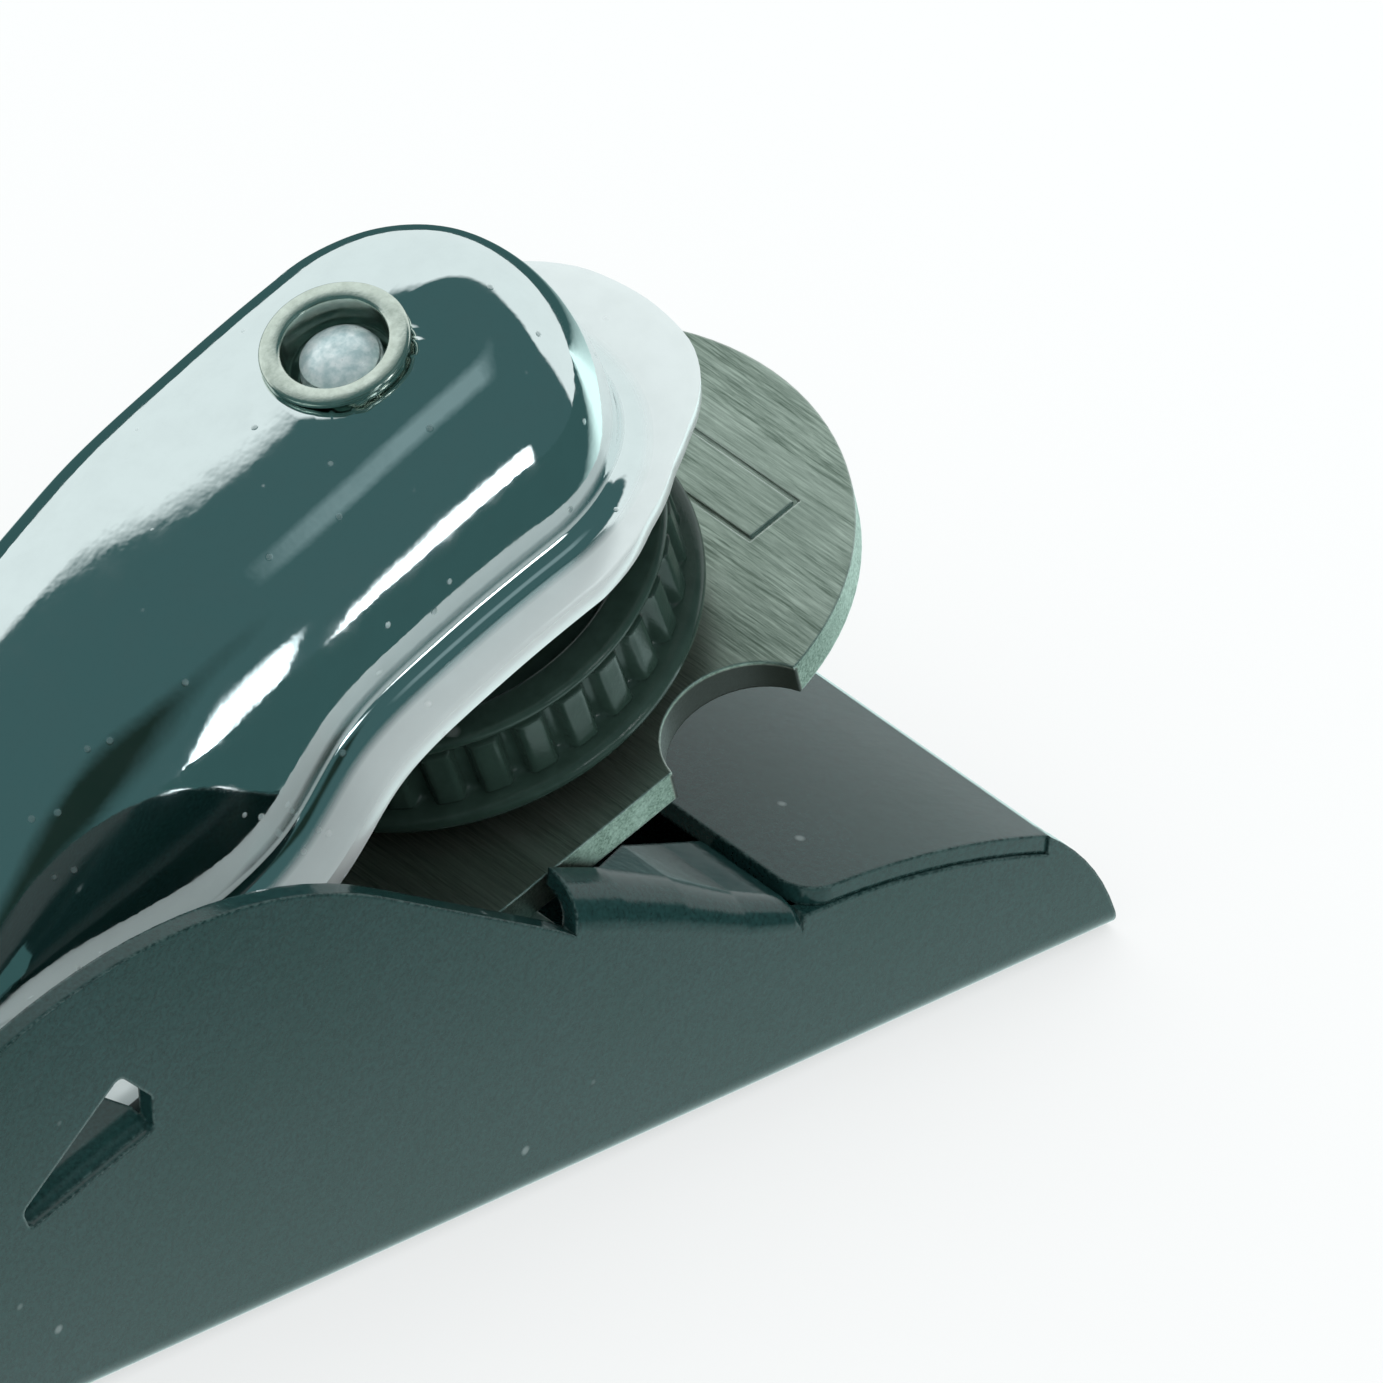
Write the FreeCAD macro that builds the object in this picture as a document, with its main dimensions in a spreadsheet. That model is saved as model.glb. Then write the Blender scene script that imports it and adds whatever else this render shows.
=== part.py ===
import FreeCAD
import Part
import math
import os
import Sketcher

# Pressed-steel block plane, in millimetres.
# +X runs from the toe to the heel, +Y across the sole, +Z up from the sole.
# The origin is on the underside of the sole, at the middle of its length and width.
#
# The iron and everything clamped on it are drawn in the bed frame: its X runs up the slope of
# the iron, its Z stands square to the iron's upper face, and its origin is on that face.

V = FreeCAD.Vector
doc = FreeCAD.newDocument("hand_plane")

# ---------------------------------------------------------------- driving dimensions

SIZES = [
    ("body_length", 149.0, "sole, tip to tip"),
    ("body_width", 41.0, "over both cheeks"),
    ("sheet_gauge", 1.2, "pressed sheet of the body"),
    ("sole_corner", 1.6, "outer bend radius between sole and cheek"),
    ("hump_height", 30.15, "top of the cheeks"),
    ("hump_radius", 31.7, "crown arc of the cheeks"),
    ("hump_half", 15.5, "half the length of the crown arc"),
    ("relief_at", 30.2, "bottom of the relief notch, from the middle"),
    ("relief_floor", 18.1, "height of the relief notch"),
    ("shoulder_start", 31.0, "end of the rolled shoulder beside the notch"),
    ("shoulder_top", 20.3, "height of the shoulder at the notch"),
    ("shoulder_roll", 2.7, "outer radius of the rolled shoulder at the notch"),
    ("rest_edge", 49.0, "front edge of the end rests, from the middle"),
    ("rest_high", 12.5, "top of the end rests at their front edge"),
    ("toe_back", 64.0, "back edge of the flat toe rest, from the middle"),
    ("toe_low", 11.1, "top of the toe rest at its back edge"),
    ("heel_mid", 60.0, "a point of the curved heel rest, from the middle"),
    ("heel_mid_high", 11.3, "height of that point"),
    ("heel_back", 68.0, "back edge of the heel rest, from the middle"),
    ("heel_low", 9.0, "top of the heel rest at its back edge"),
    ("mouth_front", -18.4, "front edge of the mouth"),
    ("mouth_back", -12.6, "back edge of the mouth"),
    ("mouth_width", 36.6, "mouth across the sole"),
    ("bed_angle", 20.0, "slope of the iron, degrees"),
    ("bed_origin_x", 40.2, "a point of the iron's upper face"),
    ("bed_origin_z", 22.9, "height of that point"),
    ("iron_width", 35.0, "cutting iron"),
    ("iron_thick", 2.1, "cutting iron"),
    ("iron_tip", -60.9, "cutting edge along the bed"),
    ("iron_round", 6.6, "centre of the round end along the bed"),
    ("iron_bevel", 25.0, "grinding angle, degrees"),
    ("grip_radius", 5.0, "finger notches in the iron's edges"),
    ("grip_centre", 4.9, "finger notches along the bed"),
    ("grip_outset", 1.1, "centre of a finger notch outside the edge"),
    ("frame_long", 3.9, "stamped frame along the bed"),
    ("frame_wide", 9.6, "stamped frame across the bed"),
    ("frame_start", 14.5, "stamped frame, its toe end along the bed"),
    ("frame_side", 3.6, "middle of the stamped frame, from the iron's centre line"),
    ("frame_line", 0.3, "stamped line width"),
    ("frame_deep", 0.15, "stamped line depth"),
    ("cap_gauge", 1.1, "pressed lever cap sheet"),
    ("cap_front", -60.0, "front lip of the lever cap along the bed"),
    ("cap_crown", 26.3, "top of the lever cap above the iron"),
    ("screw_lean", 5.0, "lean of the clamp screw towards the toe, degrees"),
    ("screw_at", -1.1, "clamp screw axis on the iron's face, along the bed"),
    ("screw_radius", 2.5, "clamp screw thread"),
    ("screw_top", 26.22, "end of the clamp screw above the iron"),
    ("thread_gap", 0.06, "running clearance of the clamp screw"),
        ("bush_flange", 4.35, "bush flange radius"),
    ("bush_barrel", 3.75, "bush barrel radius"),
    ("bush_mouth", 3.1, "bush counterbore radius"),
    ("wheel_radius", 15.4, "lower rim of the clamp wheel"),
    ("wheel_upper", 14.5, "upper rim of the clamp wheel"),
    ("wheel_low", 1.9, "underside of the clamp wheel above the iron"),
    ("wheel_tall", 6.3, "clamp wheel rim height"),
    ("wheel_teeth", 32, "raised grip pads round the wheel"),
    ("foot_radius", 4.6, "pressure foot"),
    ("ball_radius", 1.9, "ball tip of the clamp screw"),
    ("tab_near", -40.3, "heel end of the hold-down tabs along the bed"),
    ("tab_far", -49.7, "toe end of the hold-down tabs along the bed"),
    ("tab_under", 7.75, "underside of the hold-down tabs above the iron"),
    ("tab_reach", 6.2, "reach of a hold-down tab inside the cheek"),
    ("knob_at", -56.6, "front knob axis"),
    ("knob_radius", 10.0, "front knob"),
    ("knob_tall", 15.5, "front knob"),
    ("knob_bolt", 2.5, "knob bolt radius"),
    ("rivet_radius", 1.6, "bed rivets"),
    ("rivet_front", 4.0, "front pair of bed rivets, from the middle"),
    ("rivet_rear", 37.5, "rear pair of bed rivets, from the middle"),
    ("rivet_apart", 22.0, "bed rivets across the sole"),
    ("bed_gauge", 1.5, "bed bracket sheet"),
    ("bed_width", 37.8, "bed bracket across the body"),
    ("bed_end", -10.8, "heel end of the bed's slope along the bed"),
]

sheet = doc.addObject("Spreadsheet::Sheet", "Sizes")
for row, (alias, value, note) in enumerate(SIZES, start=1):
    sheet.set(f"A{row}", note)
    sheet.set(f"B{row}", str(value))
    sheet.setAlias(f"B{row}", alias)
doc.recompute()


def size(alias):
    return float(getattr(sheet, alias))


def cell(alias):
    return "Sizes." + alias


# ---------------------------------------------------------------- frames

BED_ANGLE = math.radians(size("bed_angle"))
BED_ORIGIN = V(size("bed_origin_x"), 0, size("bed_origin_z"))
SLIM = 0.02  # a seat left between two touching pieces


def bed_point(along, across, above):
    """A point given in the bed frame, in the part's own frame."""
    return BED_ORIGIN + V(
        along * math.cos(BED_ANGLE) - above * math.sin(BED_ANGLE),
        across,
        along * math.sin(BED_ANGLE) + above * math.cos(BED_ANGLE),
    )


def bed_placement(along=0.0, above=0.0, lean=0.0):
    """The bed frame, moved along and above it and leaned towards the toe."""
    turn = FreeCAD.Rotation(V(0, 1, 0), -size("bed_angle") - lean)
    return FreeCAD.Placement(bed_point(along, 0, above), turn)


SCREW = bed_placement(size("screw_at"), 0.0, size("screw_lean"))

parts = []


def keep(obj, label, placement=None):
    """Name a finished sub-part and put it in its place."""
    obj.Label = label
    if placement is not None:
        obj.Placement = placement
    parts.append(obj)
    return obj


def formed(label, shape, placement=None):
    """A sub-part whose shape is formed in code from the sheet's sizes."""
    obj = doc.addObject("Part::Feature", label + "_form")
    obj.Shape = shape
    return keep(obj, label, placement)


def polygon(points):
    return Part.makePolygon(list(points) + [points[0]])


def prism(points, across):
    """An outline in the XZ plane, made a solid that is centred on Y."""
    flat = Part.Face(polygon([V(x, -across / 2, z) for x, z in points]))
    return flat.extrude(V(0, across, 0))


def mirrored(shape, normal):
    return shape.mirror(V(0, 0, 0), normal)


def box(x0, x1, y0, y1, z0, z1):
    return Part.makeBox(x1 - x0, y1 - y0, z1 - z0, V(x0, y0, z0))


# ---------------------------------------------------------------- turned pieces


def origin_plane(body, role):
    return next(f for f in body.Origin.OriginFeatures if f.Role == role)


def turned(label, profile, placement):
    """A PartDesign revolution of a closed polygon, round its own Z.

    Each corner of the profile is (radius, height); both are expressions on the sheet."""
    body = doc.addObject("PartDesign::Body", label + "_body")
    sketch = body.newObject("Sketcher::SketchObject", label + "_profile")
    sketch.AttachmentSupport = [(origin_plane(body, "XZ_Plane"), "")]
    sketch.MapMode = "FlatFace"
    values = [(evaluate(r), evaluate(h)) for r, h in profile]
    count = len(profile)
    for i in range(count):
        start = V(*values[i], 0)
        end = V(*values[(i + 1) % count], 0)
        sketch.addGeometry(Part.LineSegment(start, end), False)
    for i in range(count):
        sketch.addConstraint(Sketcher.Constraint("Coincident", i, 2, (i + 1) % count, 1))
    for i, (radius, height) in enumerate(profile):
        if values[i][0] == 0:
            sketch.addConstraint(Sketcher.Constraint("PointOnObject", i, 1, -2))
        else:
            bind(sketch, "DistanceX", i, values[i][0], f"radius{i}", radius)
        if values[i][1] == 0:
            sketch.addConstraint(Sketcher.Constraint("PointOnObject", i, 1, -1))
        else:
            bind(sketch, "DistanceY", i, values[i][1], f"height{i}", height)
    turn = body.newObject("PartDesign::Revolution", label + "_turn")
    turn.Profile = sketch
    turn.ReferenceAxis = (sketch, ["V_Axis"])
    turn.Angle = 360
    doc.recompute()
    return keep(body, label, placement)


def evaluate(expression):
    """The value that an expression on the sheet has now."""
    if isinstance(expression, (int, float)):
        return float(expression)
    return float(sheet.evalExpression(expression.replace("Sizes.", "")))


def bind(sketch, kind, corner, value, name, expression):
    index = sketch.addConstraint(Sketcher.Constraint(kind, -1, 1, corner, 1, value))
    sketch.renameConstraint(index, name)
    if not isinstance(expression, (int, float)):
        sketch.setExpression("Constraints." + name, expression)


# ---------------------------------------------------------------- body shell

GAUGE = size("sheet_gauge")
HALF_LENGTH = size("body_length") / 2
HALF_WIDTH = size("body_width") / 2
INNER_HALF = HALF_WIDTH - GAUGE
REST_UNDER = size("rest_high") - GAUGE


def rest_seat(side, drop):
    """Side view of an end rest, from its front edge to its back edge; side is 1 at the heel."""
    front = V(side * size("rest_edge"), 0, size("rest_high") - drop)
    if side < 0:
        return Part.LineSegment(front, V(-size("toe_back"), 0, size("toe_low") - drop))
    middle = V(size("heel_mid"), 0, size("heel_mid_high") - drop)
    return Part.Arc(front, middle, V(size("heel_back"), 0, size("heel_low") - drop))


def end_curve(side, inset, drop):
    """Side view of a rounded end, from the back of its rest down to the sole."""
    back, low, swell = ("heel_back", "heel_low", 2.5) if side > 0 else ("toe_back", "toe_low", 2.6)
    start = V(side * (size(back) - drop / 3), 0, size(low) - drop)
    middle = V(side * (HALF_LENGTH - swell - inset - drop), 0, 5.0 - drop / 3)
    tip = V(side * (HALF_LENGTH - (0.6 + drop if inset else 0)), 0, GAUGE + SLIM if inset else 0)
    return Part.Arc(start, middle, tip)


def cheek_outline():
    """Side view of the flat cheeks: sole, heel and toe curves, crown and relief notches."""
    high = size("hump_height")
    half = size("hump_half")
    radius = size("hump_radius")
    drop = radius - math.sqrt(radius**2 - half**2)
    notch = size("relief_at")
    floor = size("relief_floor")
    step = size("shoulder_start")
    roll = size("shoulder_top") - size("shoulder_roll")
    edge = size("rest_edge")

    def side(s):
        """Edges from the crown arc's end down to the sole's corner; s is 1 at the heel."""
        crown_end = V(s * half, 0, high - drop)
        notch_in = V(s * (notch - 1.4), 0, floor + 0.5)
        notch_low = V(s * notch, 0, floor - 0.35)
        notch_out = V(s * step, 0, floor - 0.9)
        roll_at = V(s * step, 0, roll)
        roll_mid = V(s * 39.5, 0, roll - 3.9)
        roll_end = V(s * edge, 0, REST_UNDER - 1.5)
        seat = rest_seat(s, GAUGE)
        end = end_curve(s, 0, 0)
        return [
            Part.LineSegment(crown_end, notch_in),
            Part.Arc(notch_in, notch_low, notch_out),
            Part.LineSegment(notch_out, roll_at),
            Part.Arc(roll_at, roll_mid, roll_end),
            Part.LineSegment(roll_end, seat.StartPoint),
            seat,
            Part.LineSegment(seat.EndPoint, end.StartPoint),
            end,
        ]

    crown = Part.Arc(V(half, 0, high - drop), V(0, 0, high), V(-half, 0, high - drop))
    sole = Part.LineSegment(V(-HALF_LENGTH, 0, 0), V(HALF_LENGTH, 0, 0))
    edges = [crown] + side(1) + side(-1) + [sole]
    wire = Part.Wire(Part.__sortEdges__([e.toShape() for e in edges]))
    return Part.Face(wire)


def shoulder():
    """The inward roll of one cheek between the relief notch and the end rest, heel, far side."""
    start = size("shoulder_start")
    edge = size("rest_edge")
    top = size("shoulder_top")
    roll = size("shoulder_roll")
    # distance from the middle, top height, outer radius, reach inwards
    stations = [
        (start, top, roll, roll + 0.05),
        (start + 4.0, top - 1.6, roll, roll + 0.05),
        (start + 9.0, top - 4.0, roll - 0.3, 6.0),
        (start + 13.6, top - 6.6, roll - 0.8, 7.5),
        (edge - 0.6, REST_UNDER + 0.75, roll - 1.2, 8.0),
        (edge, REST_UNDER + 0.05, roll - 1.3, 8.0),
    ]
    wires = []
    for x, high, outer, reach in stations:
        inner = outer - GAUGE
        y_out = HALF_WIDTH
        y_in = HALF_WIDTH - GAUGE
        cy = HALF_WIDTH - outer
        cz = high - outer
        foot = 8.4
        bend = math.sqrt(0.5)
        points = [V(x, y_in, foot), V(x, y_out, foot), V(x, y_out, cz)]
        outer_mid = V(x, cy + outer * bend, cz + outer * bend)
        outer_end = V(x, cy, high)
        tip_up = V(x, HALF_WIDTH - reach, high)
        tip_down = V(x, HALF_WIDTH - reach, high - GAUGE)
        inner_start = V(x, cy, high - GAUGE)
        inner_mid = V(x, cy + inner * bend, cz + inner * bend)
        inner_end = V(x, y_in, cz)
        wires.append(
            Part.Wire(
                [
                    Part.makeLine(points[0], points[1]),
                    Part.makeLine(points[1], points[2]),
                    Part.Arc(points[2], outer_mid, outer_end).toShape(),
                    Part.makeLine(outer_end, tip_up),
                    Part.makeLine(tip_up, tip_down),
                    Part.makeLine(tip_down, inner_start),
                    Part.Arc(inner_start, inner_mid, inner_end).toShape(),
                    Part.makeLine(inner_end, points[0]),
                ]
            )
        )
    pieces = [Part.makeLoft(list(pair), True, True) for pair in zip(wires, wires[1:])]
    return pieces[0].fuse(pieces[1:])


def tab_window():
    """The lanced opening above a hold-down tab, through both cheeks, in the bed frame."""
    near = size("tab_near")
    far = size("tab_far")
    low = size("tab_under") + 0.6
    corners = [
        (near, low),
        (near + 0.4, low + 2.4),
        (near - 1.3, low + 5.6),
        (far - 0.2, low + 1.6),
        (far, low),
    ]
    window = prism(corners, size("body_width") + 2)
    upright = [e for e in window.Edges if abs(e.tangentAt(e.FirstParameter).y) > 0.9]
    return window.makeFillet(0.55, upright)


def hold_down_tab():
    """The tab itself: bent in from the cheek over a rounded root, far side, bed frame."""
    near = size("tab_near")
    far = size("tab_far")
    under = size("tab_under")
    outer = GAUGE + 0.6
    root_z = under + GAUGE - outer
    wide = near - far
    reach = size("tab_reach")
    yo = HALF_WIDTH
    yc = HALF_WIDTH - outer
    bend = math.sqrt(0.5)
    inner = outer - GAUGE
    edges = [
        Part.makeLine(V(far, yo - GAUGE, root_z - 1.0), V(far, yo, root_z - 1.0)),
        Part.makeLine(V(far, yo, root_z - 1.0), V(far, yo, root_z)),
        Part.Arc(
            V(far, yo, root_z),
            V(far, yc + outer * bend, root_z + outer * bend),
            V(far, yc, root_z + outer),
        ).toShape(),
        Part.makeLine(V(far, yc, root_z + outer), V(far, yo - reach, root_z + outer)),
        Part.makeLine(V(far, yo - reach, root_z + outer), V(far, yo - reach, root_z + inner)),
        Part.makeLine(V(far, yo - reach, root_z + inner), V(far, yc, root_z + inner)),
        Part.Arc(
            V(far, yc, root_z + inner),
            V(far, yc + inner * bend, root_z + inner * bend),
            V(far, yo - GAUGE, root_z),
        ).toShape(),
        Part.makeLine(V(far, yo - GAUGE, root_z), V(far, yo - GAUGE, root_z - 1.0)),
    ]
    tab = Part.Face(Part.Wire(edges)).extrude(V(wide, 0, 0))
    # the free end is narrower than the root
    y_tip = yo - reach
    trims = []
    for x_root, x_tip in ((far, far + 2.6), (near, near - 1.6)):
        points = [V(x_root, yo - outer, 0), V(x_root, y_tip - 1, 0), V(x_tip, y_tip - 1, 0)]
        trims.append(Part.Face(polygon(points)).extrude(V(0, 0, 30)))
    return tab.cut(trims)


def body_shell():
    """Sole and cheeks in one pressing, with rolled shoulders and lanced hold-down tabs."""
    tall = size("hump_height") + 5
    outer = box(-HALF_LENGTH - 1, HALF_LENGTH + 1, -HALF_WIDTH, HALF_WIDTH, 0, tall)
    inner = box(-HALF_LENGTH - 2, HALF_LENGTH + 2, -INNER_HALF, INNER_HALF, GAUGE, tall + 1)

    def long_low_edges(solid, z):
        return [e for e in solid.Edges if abs(e.BoundBox.ZMax - z) < 1e-6 and e.BoundBox.XLength > 50]

    outer = outer.makeFillet(size("sole_corner"), long_low_edges(outer, 0))
    inner = inner.makeFillet(size("sole_corner") - GAUGE, long_low_edges(inner, GAUGE))
    side = cheek_outline().extrude(V(0, size("body_width") + 2, 0))
    side.translate(V(0, -HALF_WIDTH - 1, 0))
    shell = outer.cut(inner).common(side)

    one = shoulder()
    pair = [one, mirrored(one, V(0, 1, 0))]
    rolls = pair + [mirrored(s, V(1, 0, 0)) for s in pair]

    window = tab_window()
    window.Placement = bed_placement()
    tab = hold_down_tab()
    tabs = [tab.copy(), mirrored(tab, V(0, 1, 0))]
    for t in tabs:
        t.Placement = bed_placement()

    mouth = box(
        size("mouth_front"),
        size("mouth_back"),
        -size("mouth_width") / 2,
        size("mouth_width") / 2,
        -1,
        GAUGE + 1,
    )
    holes = [rivet_hole(x, y) for x, y in rivet_places()]
    shell = shell.cut([window, mouth] + holes)
    shell = shell.fuse(rolls + tabs)
    return shell.removeSplitter()


def rivet_places():
    return [
        (x, s * size("rivet_apart") / 2)
        for x in (size("rivet_front"), size("rivet_rear"))
        for s in (-1, 1)
    ]


def rivet_hole(x, y):
    """Countersunk from below, through the sole."""
    shank = Part.makeCylinder(size("rivet_radius"), GAUGE + 2, V(x, y, -1))
    sink = Part.makeCone(size("rivet_radius") + 1.0, size("rivet_radius"), 1.0, V(x, y, 0))
    return shank.fuse(sink)


formed("body_shell", body_shell())

# ---------------------------------------------------------------- end rests


def end_rest(side, hole):
    """A plate over the cheeks with an apron that closes the end; side is 1 at the heel."""
    top = rest_seat(side, 0)
    under = rest_seat(side, GAUGE - SLIM)
    wide = size("body_width") - 0.4
    ends = [Part.makeLine(top.StartPoint, under.StartPoint), Part.makeLine(under.EndPoint, top.EndPoint)]
    plate = Part.Face(Part.Wire([top.toShape(), ends[1], under.toShape(), ends[0]])).extrude(V(0, wide, 0))
    plate.translate(V(0, -wide / 2, 0))
    front = size("rest_edge") + 0.01

    def upright(edge):
        box_of = edge.BoundBox
        return box_of.ZLength > GAUGE / 2 and box_of.YLength < 0.01 and abs(box_of.Center.x) < front

    plate = plate.makeFillet(2.2, [e for e in plate.Edges if upright(e)])
    # the apron follows the cheeks' end curve, just inside them
    outer = end_curve(side, 0.15, 0)
    inner = end_curve(side, 0.15, GAUGE)
    face = Part.Face(
        Part.Wire(
            [
                outer.toShape(),
                Part.makeLine(outer.EndPoint, inner.EndPoint),
                inner.toShape(),
                Part.makeLine(inner.StartPoint, outer.StartPoint),
            ]
        )
    )
    apron_width = 2 * (INNER_HALF - 0.1)
    apron = face.extrude(V(0, apron_width, 0))
    apron.translate(V(0, -apron_width / 2, 0))
    rest = plate.fuse(apron)
    if hole:
        rest = rest.cut(Part.makeCylinder(size("knob_bolt") + 0.2, 30, V(-abs(size("knob_at")), 0, 0)))
    return rest.removeSplitter()


formed("heel_rest", end_rest(1, False))
formed("toe_rest", end_rest(-1, True))

# ---------------------------------------------------------------- blade bed


def blade_bed():
    """One bent strip: foot, slope under the iron, rear leg and rear foot."""
    gauge = size("bed_gauge")
    top = -size("iron_thick") - SLIM
    slope_low = -size("bed_angle")
    t = math.tan(BED_ANGLE)

    def slope_x(above, z):
        """Where the bed line at that height over the iron's face meets the height z."""
        base = bed_point(0, 0, above)
        return base.x + (z - base.z) / t

    floor = GAUGE + SLIM
    nose_x = slope_x(top, floor + 0.35)
    upper_end = bed_point(size("bed_end"), 0, top)
    under_end = bed_point(size("bed_end") - 0.5, 0, top - gauge)
    leg_x = upper_end.x + 1.4
    fold_x = slope_x(top - gauge, floor + gauge)
    outline = [
        (nose_x, floor),
        (nose_x, floor + 0.35),
        (upper_end.x, upper_end.z),
        (leg_x, upper_end.z - 1.3),
        (leg_x, floor + gauge),
        (leg_x + 11.0, floor + gauge),
        (leg_x + 11.0, floor),
        (leg_x - gauge, floor),
        (leg_x - gauge, under_end.z - 0.9),
        (under_end.x, under_end.z - 0.1),
        (fold_x + 0.6, floor + gauge),
        (size("rivet_front") + 5.0, floor + gauge),
        (size("rivet_front") + 5.0, floor),
    ]
    bed = prism(outline, size("bed_width"))
    radius = size("rivet_radius")
    holes = [Part.makeCylinder(radius, gauge + 4, V(x, y, floor - 1)) for x, y in rivet_places()]
    narrow = [box(leg_x - 6, leg_x + 12, low, low + 5, 0, under_end.z - 3.5) for low in (-21, 16)]
    return bed.cut(holes + narrow)


formed("blade_bed", blade_bed())


def bed_rivets():
    """Four rivets: flush below the sole, domed above the bracket's feet."""
    radius = size("rivet_radius")
    floor = GAUGE + size("bed_gauge") + SLIM
    solids = []
    for x, y in rivet_places():
        shank = Part.makeCylinder(radius, floor, V(x, y, 0))
        sunk = Part.makeCone(radius + 1.0, radius, 1.0, V(x, y, 0))
        dome = Part.makeSphere(3.4, V(x, y, floor - 2.2))
        dome = dome.common(box(x - 4, x + 4, y - 4, y + 4, floor, floor + 3))
        solids.append(shank.fuse([sunk, dome]).removeSplitter())
    return Part.makeCompound(solids)


formed("bed_rivets", bed_rivets())

# ---------------------------------------------------------------- cutting iron


def primitive(kind, name, sizes, at):
    """A Part primitive whose sizes and place are expressions on the sheet."""
    obj = doc.addObject(kind, name)
    for key, expression in sizes.items():
        if isinstance(expression, str):
            obj.setExpression(key, expression)
        else:
            setattr(obj, key, expression)
    for key, expression in zip(("x", "y", "z"), at):
        obj.setExpression(f"Placement.Base.{key}", str(expression))
    return obj


def blade():
    """Flat iron, round at the heel end, bevelled at the mouth, notched for the fingers."""
    wide = cell("iron_width")
    thick = cell("iron_thick")
    plate = primitive(
        "Part::Box",
        "iron_plate",
        {"Length": "Sizes.iron_round - Sizes.iron_tip", "Width": wide, "Height": thick},
        (cell("iron_tip"), f"-{wide} / 2", f"-{thick}"),
    )
    end = primitive(
        "Part::Cylinder",
        "iron_end",
        {"Radius": f"{wide} / 2", "Height": thick},
        (cell("iron_round"), 0, f"-{thick}"),
    )
    blank = doc.addObject("Part::MultiFuse", "iron_blank")
    blank.Shapes = [plate, end]
    grips = []
    for name, sign in (("near", "-"), ("far", "")):
        grips.append(
            primitive(
                "Part::Cylinder",
                f"iron_grip_{name}",
                {"Radius": cell("grip_radius"), "Height": "Sizes.iron_thick + 2"},
                (
                    cell("grip_centre"),
                    f"{sign}(Sizes.iron_width / 2 + Sizes.grip_outset)",
                    "-Sizes.iron_thick - 1",
                ),
            )
        )
    bevel = doc.addObject("Part::Box", "iron_bevel_cut")
    bevel.Length = 12
    bevel.setExpression("Width", "Sizes.iron_width + 2")
    bevel.Height = 8
    bevel.Placement = FreeCAD.Placement(
        V(size("iron_tip"), -size("iron_width") / 2 - 1, -size("iron_thick")),
        FreeCAD.Rotation(V(0, 1, 0), -size("iron_bevel")),
    )
    outer = primitive(
        "Part::Box",
        "stamp_outer",
        {"Length": cell("frame_long"), "Width": cell("frame_wide"), "Height": 1},
        ("Sizes.frame_start", "-Sizes.frame_wide / 2 - Sizes.frame_side", "-Sizes.frame_deep"),
    )
    inner = primitive(
        "Part::Box",
        "stamp_inner",
        {
            "Length": "Sizes.frame_long - 2 * Sizes.frame_line",
            "Width": "Sizes.frame_wide - 2 * Sizes.frame_line",
            "Height": 2,
        },
        (
            "Sizes.frame_start + Sizes.frame_line",
            "-Sizes.frame_wide / 2 - Sizes.frame_side + Sizes.frame_line",
            "-Sizes.frame_deep - 0.5",
        ),
    )
    stamp = doc.addObject("Part::Cut", "stamp")
    stamp.Base = outer
    stamp.Tool = inner
    tools = doc.addObject("Part::MultiFuse", "iron_cutters")
    tools.Shapes = grips + [bevel, stamp]
    iron = doc.addObject("Part::Cut", "iron")
    iron.Base = blank
    iron.Tool = tools
    doc.recompute()
    return keep(iron, "blade", bed_placement())


blade()

# ---------------------------------------------------------------- lever cap


def eased(table, x):
    """Smooth curve through the table's (x, value) pairs, with no overshoot."""
    if x <= table[0][0]:
        return table[0][1]
    if x >= table[-1][0]:
        return table[-1][1]
    steps = [(b[1] - a[1]) / (b[0] - a[0]) for a, b in zip(table, table[1:])]
    slopes = [steps[0]]
    for before, after in zip(steps, steps[1:]):
        slopes.append(0 if before * after <= 0 else 2 * before * after / (before + after))
    slopes.append(steps[-1])
    i = max(k for k in range(len(table) - 1) if table[k][0] <= x)
    (x0, y0), (x1, y1) = table[i], table[i + 1]
    run = x1 - x0
    t = (x - x0) / run
    return (
        (2 * t**3 - 3 * t**2 + 1) * y0
        + (t**3 - 2 * t**2 + t) * run * slopes[i]
        + (3 * t**2 - 2 * t**3) * y1
        + (t**3 - t**2) * run * slopes[i + 1]
    )


# along the bed, value
# each pair is (distance along the bed, value), the rear radius's is (angle from the side, radius)
CAP_HALF_WIDTH = [
    (-60, 15.0), (-56, 15.6), (-51, 17.3), (-38, 17.5), (-32, 16.6), (-24, 15.4), (-12, 15.3), (0, 15.2),
]
CAP_REAR_RADIUS = [
    (0, 17.2), (8, 17.15), (14, 17.1), (22, 16.7), (30, 16.0), (40, 15.0), (52, 14.4), (66, 14.4),
    (78, 14.8), (90, 15.2),
]
CAP_BRIM = [
    (-60, 1.25), (-56, 3.0), (-51, 6.6), (-47.5, 7.6), (-34, 7.6), (-30, 7.6), (-22, 9.2), (-16, 13.0),
    (-12, 13.8), (-4, 14.2), (4, 14.0), (10, 13.2), (17.3, 12.1),
]
CAP_FOOT = [(-60, 5.0), (-48, 6.6), (-40, 8.6), (-30, 10.8), (-22, 11.7), (-14, 11.5), (0, 11.4)]
CAP_TOP = [
    (-60, 1.25), (-56, 3.0), (-51, 6.8), (-47, 9.2), (-42, 13.0), (-34, 19.0), (-26, 23.0), (-18, 24.9),
    (-8, 25.85), (-3.4, 26.18), (2, 26.3),
]
REAR_FOOT = 11.4
CAP_CREST = 3.2  # how square the section is at the crest, and how steep at its foot
CAP_WALL = 0.55


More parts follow.
